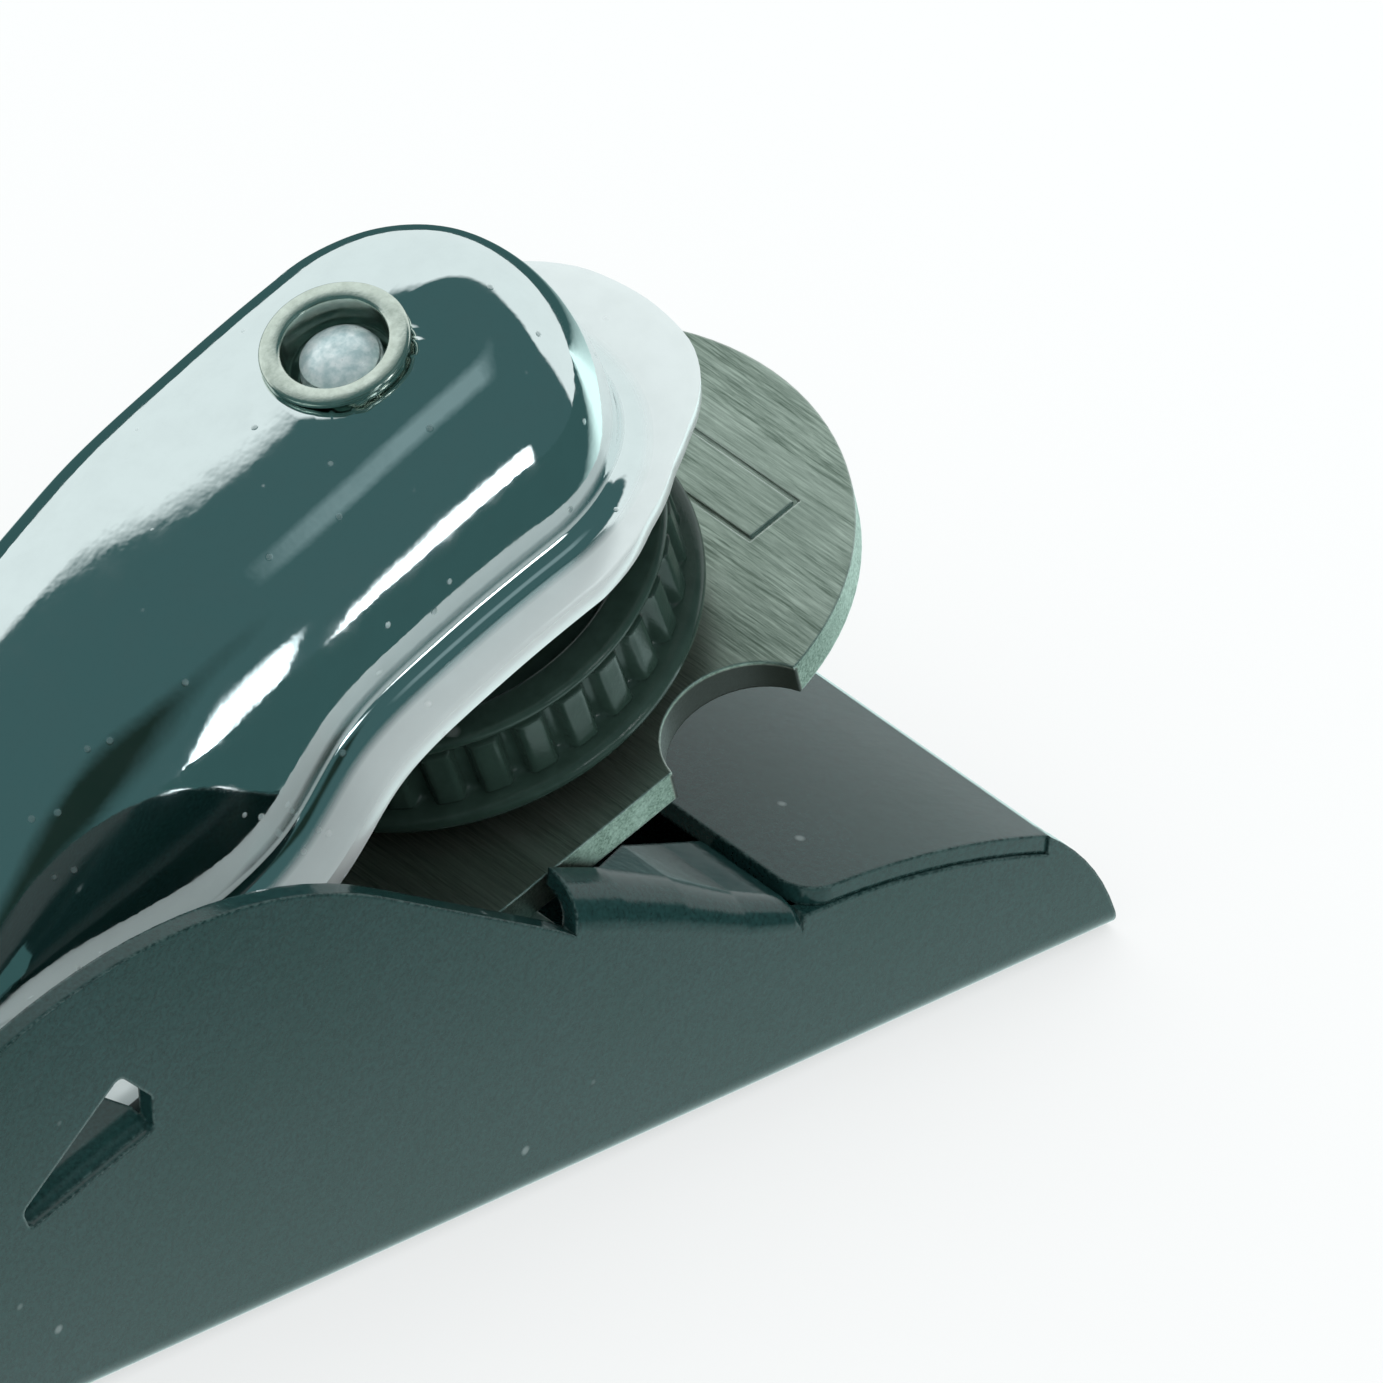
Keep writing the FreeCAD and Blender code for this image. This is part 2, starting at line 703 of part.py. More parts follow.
def cap_height(along, across):
    """Upper face of the cap above the iron."""
    brim = eased(CAP_BRIM, along)
    if along > 0:
        ratio = math.hypot(along, across) / REAR_FOOT
        top = size("cap_crown")
    else:
        ratio = abs(across) / eased(CAP_FOOT, along)
        top = eased(CAP_TOP, along)
    return brim + (top - brim) * max(0.0, 1 - min(1.0, ratio) ** CAP_CREST) ** CAP_WALL


REAR_START = 0.0
REAR_STATIONS = 16
SIDE_STATIONS = 34
LAST_TURN = 6.0  # degrees, where the rounded rear end is closed by a short straight edge


def cap_stations():
    """(along, half width) pairs from the front lip to the rear end."""
    front = size("cap_front")
    stations = []
    for i in range(SIDE_STATIONS):
        along = front + (REAR_START - front) * i / SIDE_STATIONS
        stations.append((along, eased(CAP_HALF_WIDTH, along)))
    for i in range(REAR_STATIONS + 1):
        turn = 90 - (90 - LAST_TURN) * i / REAR_STATIONS
        radius = eased(CAP_REAR_RADIUS, turn)
        angle = math.radians(turn)
        stations.append((radius * math.cos(angle), radius * math.sin(angle)))
    return stations


def cap_surface(depth):
    """A spline surface through the cap's upper face, sunk by depth along its own normal."""
    columns = 36
    grid = []
    nudge = 0.05
    for along, half in cap_stations():
        line = []
        for j in range(columns + 1):
            sweep = math.pi / 2 * 0.92
            across = half * math.sin(sweep * (2 * j / columns - 1)) / math.sin(sweep)
            along_in = along
            height = cap_height(along_in, across)
            rise_a = cap_height(along_in + nudge, across) - cap_height(along_in - nudge, across)
            rise_b = cap_height(along_in, across + nudge) - cap_height(along_in, across - nudge)
            slope_a = rise_a / (2 * nudge)
            slope_b = rise_b / (2 * nudge)
            slope_a = max(-2.2, min(2.2, slope_a))
            slope_b = max(-2.2, min(2.2, slope_b))
            normal = V(-slope_a, -slope_b, 1).normalize()
            if abs(j - columns / 2) == columns / 2 or along_in <= size("cap_front"):
                normal = V(0, 0, 1)
            line.append(V(along_in, across, height) - normal * depth)
        grid.append(line)
    surface = Part.BSplineSurface()
    surface.interpolate(grid)
    return surface.toShape()


def lever_cap():
    upper = cap_surface(0.0)
    lower = cap_surface(size("cap_gauge"))

    def border(face):
        edges = face.Edges
        return sorted(edges, key=lambda e: (round(e.CenterOfMass.x, 3), round(e.CenterOfMass.y, 3)))

    sides = [Part.makeRuledSurface(a, b) for a, b in zip(border(upper), border(lower))]
    shell = Part.makeShell([upper, lower] + sides)
    shell.sewShape()
    solid = Part.makeSolid(shell)
    if solid.Volume < 0:
        solid.reverse()
    hole = Part.makeCylinder(size("bush_barrel") + 0.02, 40, V(0, 0, 0))
    hole.Placement = FreeCAD.Placement(
        V(size("screw_at"), 0, 0), FreeCAD.Rotation(V(0, 1, 0), -size("screw_lean"))
    )
    return solid.cut(hole)


formed("lever_cap", lever_cap(), bed_placement())

# ---------------------------------------------------------------- clamp screw and its fittings

bore = "(Sizes.screw_radius + Sizes.thread_gap)"
turned(
    "cap_bush",
    [
        (bore, "Sizes.screw_top - 6.4"),
        ("Sizes.bush_barrel", "Sizes.screw_top - 6.4"),
        ("Sizes.bush_barrel", "Sizes.screw_top + 0.18"),
        ("Sizes.bush_flange", "Sizes.screw_top + 0.18"),
        ("Sizes.bush_flange", "Sizes.screw_top + 0.42"),
        ("Sizes.bush_flange - 0.25", "Sizes.screw_top + 0.62"),
        ("Sizes.bush_mouth + 0.1", "Sizes.screw_top + 0.62"),
        ("Sizes.bush_mouth", "Sizes.screw_top + 0.5"),
        ("Sizes.bush_mouth", "Sizes.screw_top - 1.7"),
        (bore, "Sizes.screw_top - 2.2"),
    ],
    SCREW,
)

turned(
    "clamp_screw",
    [
        (0, "Sizes.wheel_low + 0.9"),
        ("Sizes.ball_radius * 0.62", "Sizes.wheel_low + 0.9"),
        ("Sizes.ball_radius * 0.62", "Sizes.wheel_low + 1.3"),
        ("Sizes.screw_radius + 2.0", "Sizes.wheel_low + 1.3"),
        ("Sizes.screw_radius + 2.0", "Sizes.wheel_low + 4.6"),
        ("Sizes.screw_radius", "Sizes.wheel_low + 4.6"),
        ("Sizes.screw_radius", "Sizes.screw_top - 0.55"),
        ("Sizes.screw_radius - 0.45", "Sizes.screw_top - 0.1"),
        ("Sizes.screw_radius - 1.0", "Sizes.screw_top"),
        (0, "Sizes.screw_top"),
    ],
    SCREW,
)


def clamp_wheel():
    """Moulded wheel: lower and upper rims with a ring of raised pads between them."""
    rim = turned(
        "clamp_wheel",
        [
            ("Sizes.screw_radius + 2.02", "Sizes.wheel_low + 0.7"),
            ("Sizes.screw_radius + 5.0", "Sizes.wheel_low + 0.7"),
            ("Sizes.screw_radius + 5.6", "Sizes.wheel_low + 2.4"),
            ("Sizes.wheel_radius - 3.4", "Sizes.wheel_low + 2.4"),
            ("Sizes.wheel_radius - 2.8", "Sizes.wheel_low"),
            ("Sizes.wheel_radius - 0.3", "Sizes.wheel_low"),
            ("Sizes.wheel_radius", "Sizes.wheel_low + 0.3"),
            ("Sizes.wheel_radius", "Sizes.wheel_low + 0.7"),
            ("Sizes.wheel_radius - 0.25", "Sizes.wheel_low + 1.0"),
            ("Sizes.wheel_upper - 0.5", "Sizes.wheel_low + 1.1"),
            ("Sizes.wheel_upper - 0.9", "Sizes.wheel_low + Sizes.wheel_tall - 0.9"),
            ("Sizes.wheel_upper", "Sizes.wheel_low + Sizes.wheel_tall - 0.7"),
            ("Sizes.wheel_upper", "Sizes.wheel_low + Sizes.wheel_tall - 0.3"),
            ("Sizes.wheel_upper - 0.3", "Sizes.wheel_low + Sizes.wheel_tall"),
            ("Sizes.wheel_upper - 2.2", "Sizes.wheel_low + Sizes.wheel_tall"),
            ("Sizes.wheel_upper - 3.0", "Sizes.wheel_low + 4.4"),
            ("Sizes.screw_radius + 4.4", "Sizes.wheel_low + 4.4"),
            ("Sizes.screw_radius + 3.8", "Sizes.wheel_low + Sizes.wheel_tall - 0.9"),
            ("Sizes.screw_radius + 2.02", "Sizes.wheel_low + Sizes.wheel_tall - 0.9"),
        ],
        SCREW,
    )
    sketch = rim.newObject("Sketcher::SketchObject", "pad_outline")
    sketch.AttachmentSupport = [(origin_plane(rim, "XY_Plane"), "")]
    sketch.MapMode = "FlatFace"
    sketch.setExpression("AttachmentOffset.Base.z", "Sizes.wheel_low + 1.02")
    inner = size("wheel_upper") - 1.3
    outer = size("wheel_upper") + 0.1
    half = 0.75
    corners = [V(inner, -half, 0), V(outer, -half, 0), V(outer, half, 0), V(inner, half, 0)]
    for a, b in zip(corners, corners[1:] + corners[:1]):
        sketch.addGeometry(Part.LineSegment(a, b), False)
    for i in range(4):
        sketch.addConstraint(Sketcher.Constraint("Coincident", i, 2, (i + 1) % 4, 1))
    for i in (0, 2):
        sketch.addConstraint(Sketcher.Constraint("Horizontal", i))
        sketch.addConstraint(Sketcher.Constraint("Vertical", i + 1))
    bind(sketch, "DistanceX", 0, inner, "pad_inner", "Sizes.wheel_upper - 1.3")
    bind(sketch, "DistanceX", 1, outer, "pad_outer", "Sizes.wheel_upper + 0.1")
    bind(sketch, "DistanceY", 0, -half, "pad_half", -half)
    bind(sketch, "DistanceY", 2, half, "pad_other_half", half)
    pad = rim.newObject("PartDesign::Pad", "pad")
    pad.Profile = sketch
    pad.setExpression("Length", "Sizes.wheel_tall - 1.8")
    doc.recompute()
    ring = rim.newObject("PartDesign::PolarPattern", "pads")
    ring.Originals = [pad]
    ring.Axis = (sketch, ["N_Axis"])
    ring.Angle = 360
    ring.setExpression("Occurrences", cell("wheel_teeth"))
    rim.Tip = ring
    doc.recompute()
    return rim


clamp_wheel()


def pressure_foot():
    """Flat pad on the iron with a socket for the screw's ball tip."""
    radius = size("foot_radius")
    tall = 1.7
    pad = Part.makeCylinder(radius, tall, V(0, 0, 0.03))
    pad = pad.makeFillet(0.5, [e for e in pad.Edges if abs(e.BoundBox.ZMin - tall - 0.03) < 1e-6])
    lean = math.radians(size("screw_lean"))
    centre = V(-ball_height() * math.sin(lean), 0, ball_height() * math.cos(lean))
    return pad.cut(Part.makeSphere(size("ball_radius") + 0.06, centre))


def ball_height():
    return size("ball_radius") + 0.65


formed("pressure_foot", pressure_foot(), bed_placement(size("screw_at")))


def screw_tip():
    """Hardened ball, pressed on the end of the clamp screw."""
    ball = Part.makeSphere(size("ball_radius"), V(0, 0, ball_height()))
    trim = box(-5, 5, -5, 5, size("wheel_low") + 0.9 - SLIM, 20)
    return ball.cut(trim)


formed("screw_tip", screw_tip(), SCREW)

# ---------------------------------------------------------------- front knob

REST_SLOPE = math.degrees(
    math.atan((size("rest_high") - size("toe_low")) / (size("toe_back") - size("rest_edge")))
)
KNOB_DROP = (abs(size("knob_at")) - size("rest_edge")) * math.tan(math.radians(REST_SLOPE))
KNOB_FLOOR = size("rest_high") - KNOB_DROP
KNOB = FreeCAD.Placement(
    V(size("knob_at"), 0, KNOB_FLOOR + SLIM), FreeCAD.Rotation(V(0, 1, 0), -REST_SLOPE)
)


def front_knob():
    """Turned button with a waist, a round head and a countersunk hole."""
    radius = size("knob_radius")
    tall = size("knob_tall")
    hole = size("knob_bolt") + 0.2
    edges = [
        Part.makeLine(V(hole, 0, 0), V(radius * 0.74, 0, 0)),
        Part.Arc(
            V(radius * 0.74, 0, 0), V(radius * 0.66, 0, tall * 0.2), V(radius * 0.84, 0, tall * 0.42)
        ).toShape(),
        Part.Arc(
            V(radius * 0.84, 0, tall * 0.42), V(radius, 0, tall * 0.66), V(radius * 0.86, 0, tall * 0.88)
        ).toShape(),
        Part.Arc(
            V(radius * 0.86, 0, tall * 0.88), V(radius * 0.7, 0, tall * 0.97), V(hole + 2.3, 0, tall)
        ).toShape(),
        Part.makeLine(V(hole + 2.3, 0, tall), V(hole, 0, tall - 2.3)),
        Part.makeLine(V(hole, 0, tall - 2.3), V(hole, 0, 0)),
    ]
    return Part.Face(Part.Wire(edges)).revolve(V(0, 0, 0), V(0, 0, 1), 360)


formed("front_knob", front_knob(), KNOB)


def knob_screw():
    """Countersunk machine screw with a slot."""
    bolt = size("knob_bolt")
    tall = size("knob_tall")
    below = GAUGE + 5.4
    shank = Part.makeCylinder(bolt, tall - 2.2 + below, V(0, 0, -below))
    head = Part.makeCone(bolt, bolt + 2.25, 2.25, V(0, 0, tall - 2.3))
    slot = box(-6, 6, -0.45, 0.45, tall - 1.1, tall + 1)
    return shank.fuse(head).cut(slot).removeSplitter()


formed("knob_screw", knob_screw(), KNOB)

under_rest = f"-{cell('sheet_gauge')} - {2 * SLIM}"
turned(
    "knob_washer",
    [
        ("Sizes.knob_bolt + 0.25", f"{under_rest} - 0.9"),
        ("Sizes.knob_bolt + 2.5", f"{under_rest} - 0.9"),
        ("Sizes.knob_bolt + 2.5", under_rest),
        ("Sizes.knob_bolt + 0.25", under_rest),
    ],
    KNOB,
)


turned(
    "knob_lock_washer",
    [
        ("Sizes.knob_bolt + 0.1", f"{under_rest} - 1.92"),
        ("Sizes.knob_bolt + 1.7", f"{under_rest} - 1.92"),
        ("Sizes.knob_bolt + 1.7", f"{under_rest} - 0.92"),
        ("Sizes.knob_bolt + 0.1", f"{under_rest} - 0.92"),
    ],
    KNOB,
)


def knob_nut():
    """Hexagon nut under the toe rest."""
    corner = 8.0 / math.sqrt(3)
    tall = 2.7
    low = -GAUGE - 5 * SLIM - 1.92 - tall
    corners = [
        V(corner * math.cos(math.radians(60 * i)), corner * math.sin(math.radians(60 * i)), low) for i in range(6)
    ]
    nut = Part.Face(polygon(corners)).extrude(V(0, 0, tall))
    return nut.cut(Part.makeCylinder(size("knob_bolt") + 0.02, 10, V(0, 0, low - 2)))


formed("knob_nut", knob_nut(), KNOB)

# ---------------------------------------------------------------- check and write

doc.recompute()
for obj in doc.Objects:
    if any(word in obj.State for word in ("Invalid", "Error")):
        raise RuntimeError(f"{obj.Name} did not build: {obj.State}")

os.makedirs("parts", exist_ok=True)
for obj in parts:
    shape = obj.Shape
    if shape.isNull() or not shape.isValid() or not shape.Solids:
        raise RuntimeError(f"{obj.Label} has no sound shape")
    shape.exportStep(f"parts/{obj.Label}.step")
    print(f"{obj.Label}: {len(shape.Solids)} solids, {shape.Volume:.1f} mm3, {shape.BoundBox}")
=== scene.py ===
import math

import bmesh
import bpy
from bpy.props import FloatProperty, FloatVectorProperty, PointerProperty
from mathutils import Matrix, Vector


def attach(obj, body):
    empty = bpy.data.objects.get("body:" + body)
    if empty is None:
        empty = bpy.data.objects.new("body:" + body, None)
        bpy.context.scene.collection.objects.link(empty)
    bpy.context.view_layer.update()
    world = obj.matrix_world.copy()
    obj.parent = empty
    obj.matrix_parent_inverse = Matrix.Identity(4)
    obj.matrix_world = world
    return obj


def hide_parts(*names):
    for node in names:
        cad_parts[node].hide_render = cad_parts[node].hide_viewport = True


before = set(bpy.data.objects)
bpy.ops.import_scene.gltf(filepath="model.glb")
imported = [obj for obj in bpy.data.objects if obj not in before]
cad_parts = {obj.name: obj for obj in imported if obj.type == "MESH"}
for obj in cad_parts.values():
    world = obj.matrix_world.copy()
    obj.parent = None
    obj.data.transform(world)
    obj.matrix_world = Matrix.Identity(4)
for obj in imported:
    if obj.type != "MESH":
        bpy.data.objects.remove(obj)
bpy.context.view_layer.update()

bl_info = {
    "name": "Pressed Steel Hand Plane",
    "version": (1, 0, 0),
    "blender": (4, 5, 0),
    "location": "View3D > Sidebar > Hand Plane",
    "description": "Shapes and finishes the pieces of a pressed steel block plane and sets up its studio",
    "category": "Object",
}

MM = 0.001

# ---------------------------------------------------------------- node helpers


def add_node(tree, kind, inputs=None, **settings):
    """A shader node with its settings, and its inputs set to values or linked from sockets."""
    made = tree.nodes.new("ShaderNode" + kind)
    for key, value in settings.items():
        setattr(made, key, value)
    for key, value in (inputs or {}).items():
        if isinstance(value, bpy.types.NodeSocket):
            tree.links.new(value, made.inputs[key])
        else:
            made.inputs[key].default_value = value
    return made


def calc(tree, operation, a, b=0.0, clamp=False):
    return add_node(tree, "Math", {0: a, 1: b}, operation=operation, use_clamp=clamp).outputs[0]


def remap(tree, value, low, high, to_low=0.0, to_high=1.0):
    """value from low..high to to_low..to_high, held at the ends."""
    made = add_node(
        tree,
        "MapRange",
        {"Value": value, "From Min": low, "From Max": high, "To Min": to_low, "To Max": to_high},
        clamp=True,
    )
    return made.outputs["Result"]


def blend_colour(tree, mask, colour_a, colour_b):
    made = add_node(tree, "Mix", {"Factor": mask}, data_type="RGBA")
    for socket, colour in ((made.inputs[6], colour_a), (made.inputs[7], colour_b)):
        if isinstance(colour, bpy.types.NodeSocket):
            tree.links.new(colour, socket)
        else:
            socket.default_value = (*colour, 1.0) if len(colour) == 3 else colour
    return made.outputs[2]


def object_coordinates(tree):
    """Object coordinates in millimetres."""
    place = add_node(tree, "TexCoord").outputs["Object"]
    return add_node(tree, "VectorMath", {0: place, 1: (1 / MM,) * 3}, operation="MULTIPLY").outputs[0]


def noise(tree, vector, scale, detail=2.0, roughness=0.5):
    made = add_node(
        tree, "TexNoise", {"Vector": vector, "Scale": scale, "Detail": detail, "Roughness": roughness}
    )
    return made.outputs["Fac"]


def new_group(name, inputs, outputs):
    """A node group with named float inputs, and named outputs as (name, type)."""
    tree = bpy.data.node_groups.new(name, "ShaderNodeTree")
    for label, default in inputs:
        socket = tree.interface.new_socket(name=label, in_out="INPUT", socket_type="NodeSocketFloat")
        socket.default_value = default
    for label, kind in outputs:
        tree.interface.new_socket(name=label, in_out="OUTPUT", socket_type=kind)
    return tree, tree.nodes.new("NodeGroupInput"), tree.nodes.new("NodeGroupOutput")


def place_group(tree, name, **values):
    made = tree.nodes.new("ShaderNodeGroup")
    made.node_tree = bpy.data.node_groups[name]
    for key, value in values.items():
        made.inputs[key.replace("_", " ")].default_value = value
    return made.outputs


def finish_name(name):
    """The frame's own flat materials already have the plain names."""
    return name + "_finish"


def new_material(name, **sockets):
    """A node material; sockets sets the constants of its Principled shader."""
    made = bpy.data.materials.new(finish_name(name))
    made.use_nodes = True
    shader = made.node_tree.nodes["Principled BSDF"]
    for key, value in sockets.items():
        shader.inputs[key.replace("_", " ")].default_value = value
    return made.node_tree, shader


def dress(name, material):
    """Give a CAD node its material."""
    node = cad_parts[name]
    node.data.materials.clear()
    node.data.materials.append(bpy.data.materials[finish_name(material)])


# ---------------------------------------------------------------- bed frame

BED_SLOPE = math.radians(20.0)
BED_ORIGIN = Vector((0.0402, 0.0, 0.0229))
SCREW_AT = -0.0011
SCREW_LEAN = math.radians(5.0)


def bed_frame(along=0.0, lean=0.0):
    """The frame of the iron's upper face, moved up its slope and leaned towards the toe."""
    start = BED_ORIGIN + along * Vector((math.cos(BED_SLOPE), 0, math.sin(BED_SLOPE)))
    return Matrix.Translation(start) @ Matrix.Rotation(-BED_SLOPE - lean, 4, "Y")


SCREW_FRAME = bed_frame(SCREW_AT, SCREW_LEAN)

# millimetres, along the screw's axis from the iron's face
SCREW_TOP = 26.22
SCREW_RADIUS = 2.5
THREAD_PITCH = 0.8
WHEEL_LOW = 1.9
WHEEL_TALL = 6.3
WHEEL_RIM, WHEEL_UPPER = 15.4, 14.5
WHEEL_PADS = 32
BUSH_BARREL, BUSH_FLANGE, BUSH_MOUTH = 3.75, 4.35, 3.1
CAP_HOLE = 3.77

# ---------------------------------------------------------------- shared effects

GRAIN_STRETCH = 0.045  # across the iron, for long thin lines


def build_effects():
    """Node groups that more than one finish uses."""
    tree, given, out = new_group(
        "Soft Edge", [("Radius", 0.2)], [("Normal", "NodeSocketVector"), ("Edge", "NodeSocketFloat")]
    )
    radius = calc(tree, "MULTIPLY", given.outputs["Radius"], MM)
    bevel = add_node(tree, "Bevel", {"Radius": radius}, samples=6).outputs[0]
    flat = add_node(tree, "NewGeometry").outputs["Normal"]
    facing = add_node(tree, "VectorMath", {0: bevel, 1: flat}, operation="DOT_PRODUCT").outputs["Value"]
    tree.links.new(bevel, out.inputs["Normal"])
    tree.links.new(remap(tree, facing, 0.995, 0.9), out.inputs["Edge"])

    tree, given, out = new_group(
        "Specks", [("Size", 1.0), ("Amount", 0.1)], [("Mask", "NodeSocketFloat")]
    )
    where = object_coordinates(tree)
    cells = add_node(
        tree,
        "TexVoronoi",
        {"Vector": where, "Scale": calc(tree, "DIVIDE", 1.0, given.outputs["Size"])},
        feature="F1",
    )
    lot = add_node(tree, "SeparateColor", {0: cells.outputs["Color"]}).outputs[0]
    chosen = calc(tree, "LESS_THAN", lot, given.outputs["Amount"])
    near = remap(tree, cells.outputs["Distance"], 0.22, 0.1)
    tree.links.new(calc(tree, "MULTIPLY", chosen, near), out.inputs["Mask"])

    tree, given, out = new_group(
        "Grain", [("Fineness", 8.0)], [("Lines", "NodeSocketFloat"), ("Streaks", "NodeSocketFloat")]
    )
    place = add_node(tree, "TexCoord").outputs["Object"]
    level = add_node(
        tree, "Mapping", {"Vector": place, "Rotation": (0, BED_SLOPE, 0)}, vector_type="POINT"
    ).outputs[0]
    stretch = (1 / MM, GRAIN_STRETCH / MM, 1 / MM)
    long_lines = add_node(tree, "VectorMath", {0: level, 1: stretch}, operation="MULTIPLY").outputs[0]
    tree.links.new(noise(tree, long_lines, given.outputs["Fineness"], 5.0, 0.7), out.inputs["Lines"])
    tree.links.new(
        noise(tree, long_lines, calc(tree, "MULTIPLY", given.outputs["Fineness"], 0.12), 3.0, 0.6),
        out.inputs["Streaks"],
    )

    tree, given, out = new_group(
        "Bed Place", [], [(label, "NodeSocketFloat") for label in ("Along", "Across", "Above")]
    )
    place = add_node(tree, "TexCoord").outputs["Object"]
    moved = add_node(tree, "VectorMath", {0: place, 1: tuple(BED_ORIGIN)}, operation="SUBTRACT").outputs[0]
    cos, sin = math.cos(BED_SLOPE) / MM, math.sin(BED_SLOPE) / MM
    for label, axis in (("Along", (cos, 0, sin)), ("Across", (0, 1 / MM, 0)), ("Above", (-sin, 0, cos))):
        part = add_node(tree, "VectorMath", {0: moved, 1: axis}, operation="DOT_PRODUCT")
        tree.links.new(part.outputs["Value"], out.inputs[label])

    tree, given, out = new_group("Mottle", [("Size", 1.0)], [("Value", "NodeSocketFloat")])
    where = object_coordinates(tree)
    tree.links.new(
        noise(tree, where, calc(tree, "DIVIDE", 1.0, given.outputs["Size"]), 4.0, 0.6), out.inputs["Value"]
    )


# ---------------------------------------------------------------- finishes


def shade(colour, amount):
    """The colour made darker or lighter."""
    return tuple(min(1.0, part * amount) for part in colour)


def build_enamel(colour, soft_edge):
    """Gloss enamel on pressed sheet: faint orange peel, mottled tone, edges lightened as wear and as a
    painted rim highlight, dust.
    """
    tree, shader = new_material("enamel", Roughness=0.16, IOR=1.5)
    edge = place_group(tree, "Soft Edge", Radius=soft_edge / MM)
    tone = place_group(tree, "Mottle", Size=0.28)["Value"]
    cloud = place_group(tree, "Mottle", Size=9.0)["Value"]
    dust = place_group(tree, "Specks", Size=1.6, Amount=0.02)["Mask"]
    base = blend_colour(tree, remap(tree, tone, 0.3, 0.7), shade(colour, 0.6), shade(colour, 1.35))
    base = blend_colour(tree, remap(tree, cloud, 0.4, 0.7, 0.0, 0.35), base, (0.006, 0.036, 0.03))
    # Edges lightened in a pale teal, partly as wear and partly as a painted rim highlight.
    worn_and_rim_highlight = calc(tree, "MULTIPLY", edge["Edge"], remap(tree, tone, 0.42, 0.62), clamp=True)
    base = blend_colour(tree, calc(tree, "MULTIPLY", worn_and_rim_highlight, 0.45), base, (0.13, 0.2, 0.19))
    base = blend_colour(tree, calc(tree, "MULTIPLY", dust, 0.5), base, (0.3, 0.36, 0.36))
    tree.links.new(base, shader.inputs["Base Color"])
    tree.links.new(remap(tree, cloud, 0.3, 0.7, 0.12, 0.2), shader.inputs["Roughness"])
    peel = place_group(tree, "Mottle", Size=1.1)["Value"]
    bump = add_node(
        tree, "Bump", {"Height": peel, "Normal": edge["Normal"], "Strength": 0.06, "Distance": 0.0003}
    )
    tree.links.new(bump.outputs[0], shader.inputs["Normal"])


# centre and radius of a notch in the iron's edge, in millimetres in the bed frame
NOTCH_ALONG, NOTCH_OUT, NOTCH_RADIUS = 4.9, 18.6, 5.0


def distance(tree, x, y):
    squares = (calc(tree, "MULTIPLY", part, part) for part in (x, y))
    return calc(tree, "SQRT", calc(tree, "ADD", *squares))


def build_iron_steel():
    """Ground tool steel: grain across the iron, a painted highlight along its edges, and the walls of its two
    notches painted dark as painted shade.
    """
    tree, shader = new_material("iron_steel")
    edge = place_group(tree, "Soft Edge", Radius=0.18)
    grain = place_group(tree, "Grain", Fineness=7.0)
    cloud = place_group(tree, "Mottle", Size=8.0)["Value"]
    base = blend_colour(tree, remap(tree, grain["Lines"], 0.36, 0.64), (0.2, 0.26, 0.21), (0.52, 0.6, 0.52))
    base = blend_colour(tree, remap(tree, grain["Streaks"], 0.45, 0.62, 0.0, 0.45), base, (0.6, 0.68, 0.6))
    base = blend_colour(tree, remap(tree, cloud, 0.45, 0.65, 0.0, 0.3), base, (0.24, 0.3, 0.25))
    # Painted highlight: the iron's edges are lightened to near white.
    base = blend_colour(tree, calc(tree, "MULTIPLY", edge["Edge"], 0.6), base, (0.86, 0.92, 0.88))
    bed = place_group(tree, "Bed Place")
    outwards = calc(tree, "SUBTRACT", calc(tree, "ABSOLUTE", bed["Across"]), NOTCH_OUT)
    reach = distance(tree, calc(tree, "SUBTRACT", bed["Along"], NOTCH_ALONG), outwards)
    below = remap(tree, bed["Above"], -0.12, -0.3)
    # Painted shade: the walls of the two notches, below the iron's face, are made dark and not metallic.
    notch_painted_shade = calc(tree, "MULTIPLY", remap(tree, reach, NOTCH_RADIUS + 0.25, NOTCH_RADIUS + 0.1), below)
    base = blend_colour(tree, notch_painted_shade, base, (0.02, 0.026, 0.02))
    tree.links.new(base, shader.inputs["Base Color"])
    tree.links.new(remap(tree, notch_painted_shade, 0.0, 1.0, 1.0, 0.0), shader.inputs["Metallic"])
    tree.links.new(remap(tree, grain["Lines"], 0.3, 0.7, 0.48, 0.28), shader.inputs["Roughness"])
    bump = add_node(
        tree,
        "Bump",
        {"Height": grain["Lines"], "Normal": edge["Normal"], "Strength": 0.5, "Distance": 0.00003},
    )
    tree.links.new(bump.outputs[0], shader.inputs["Normal"])


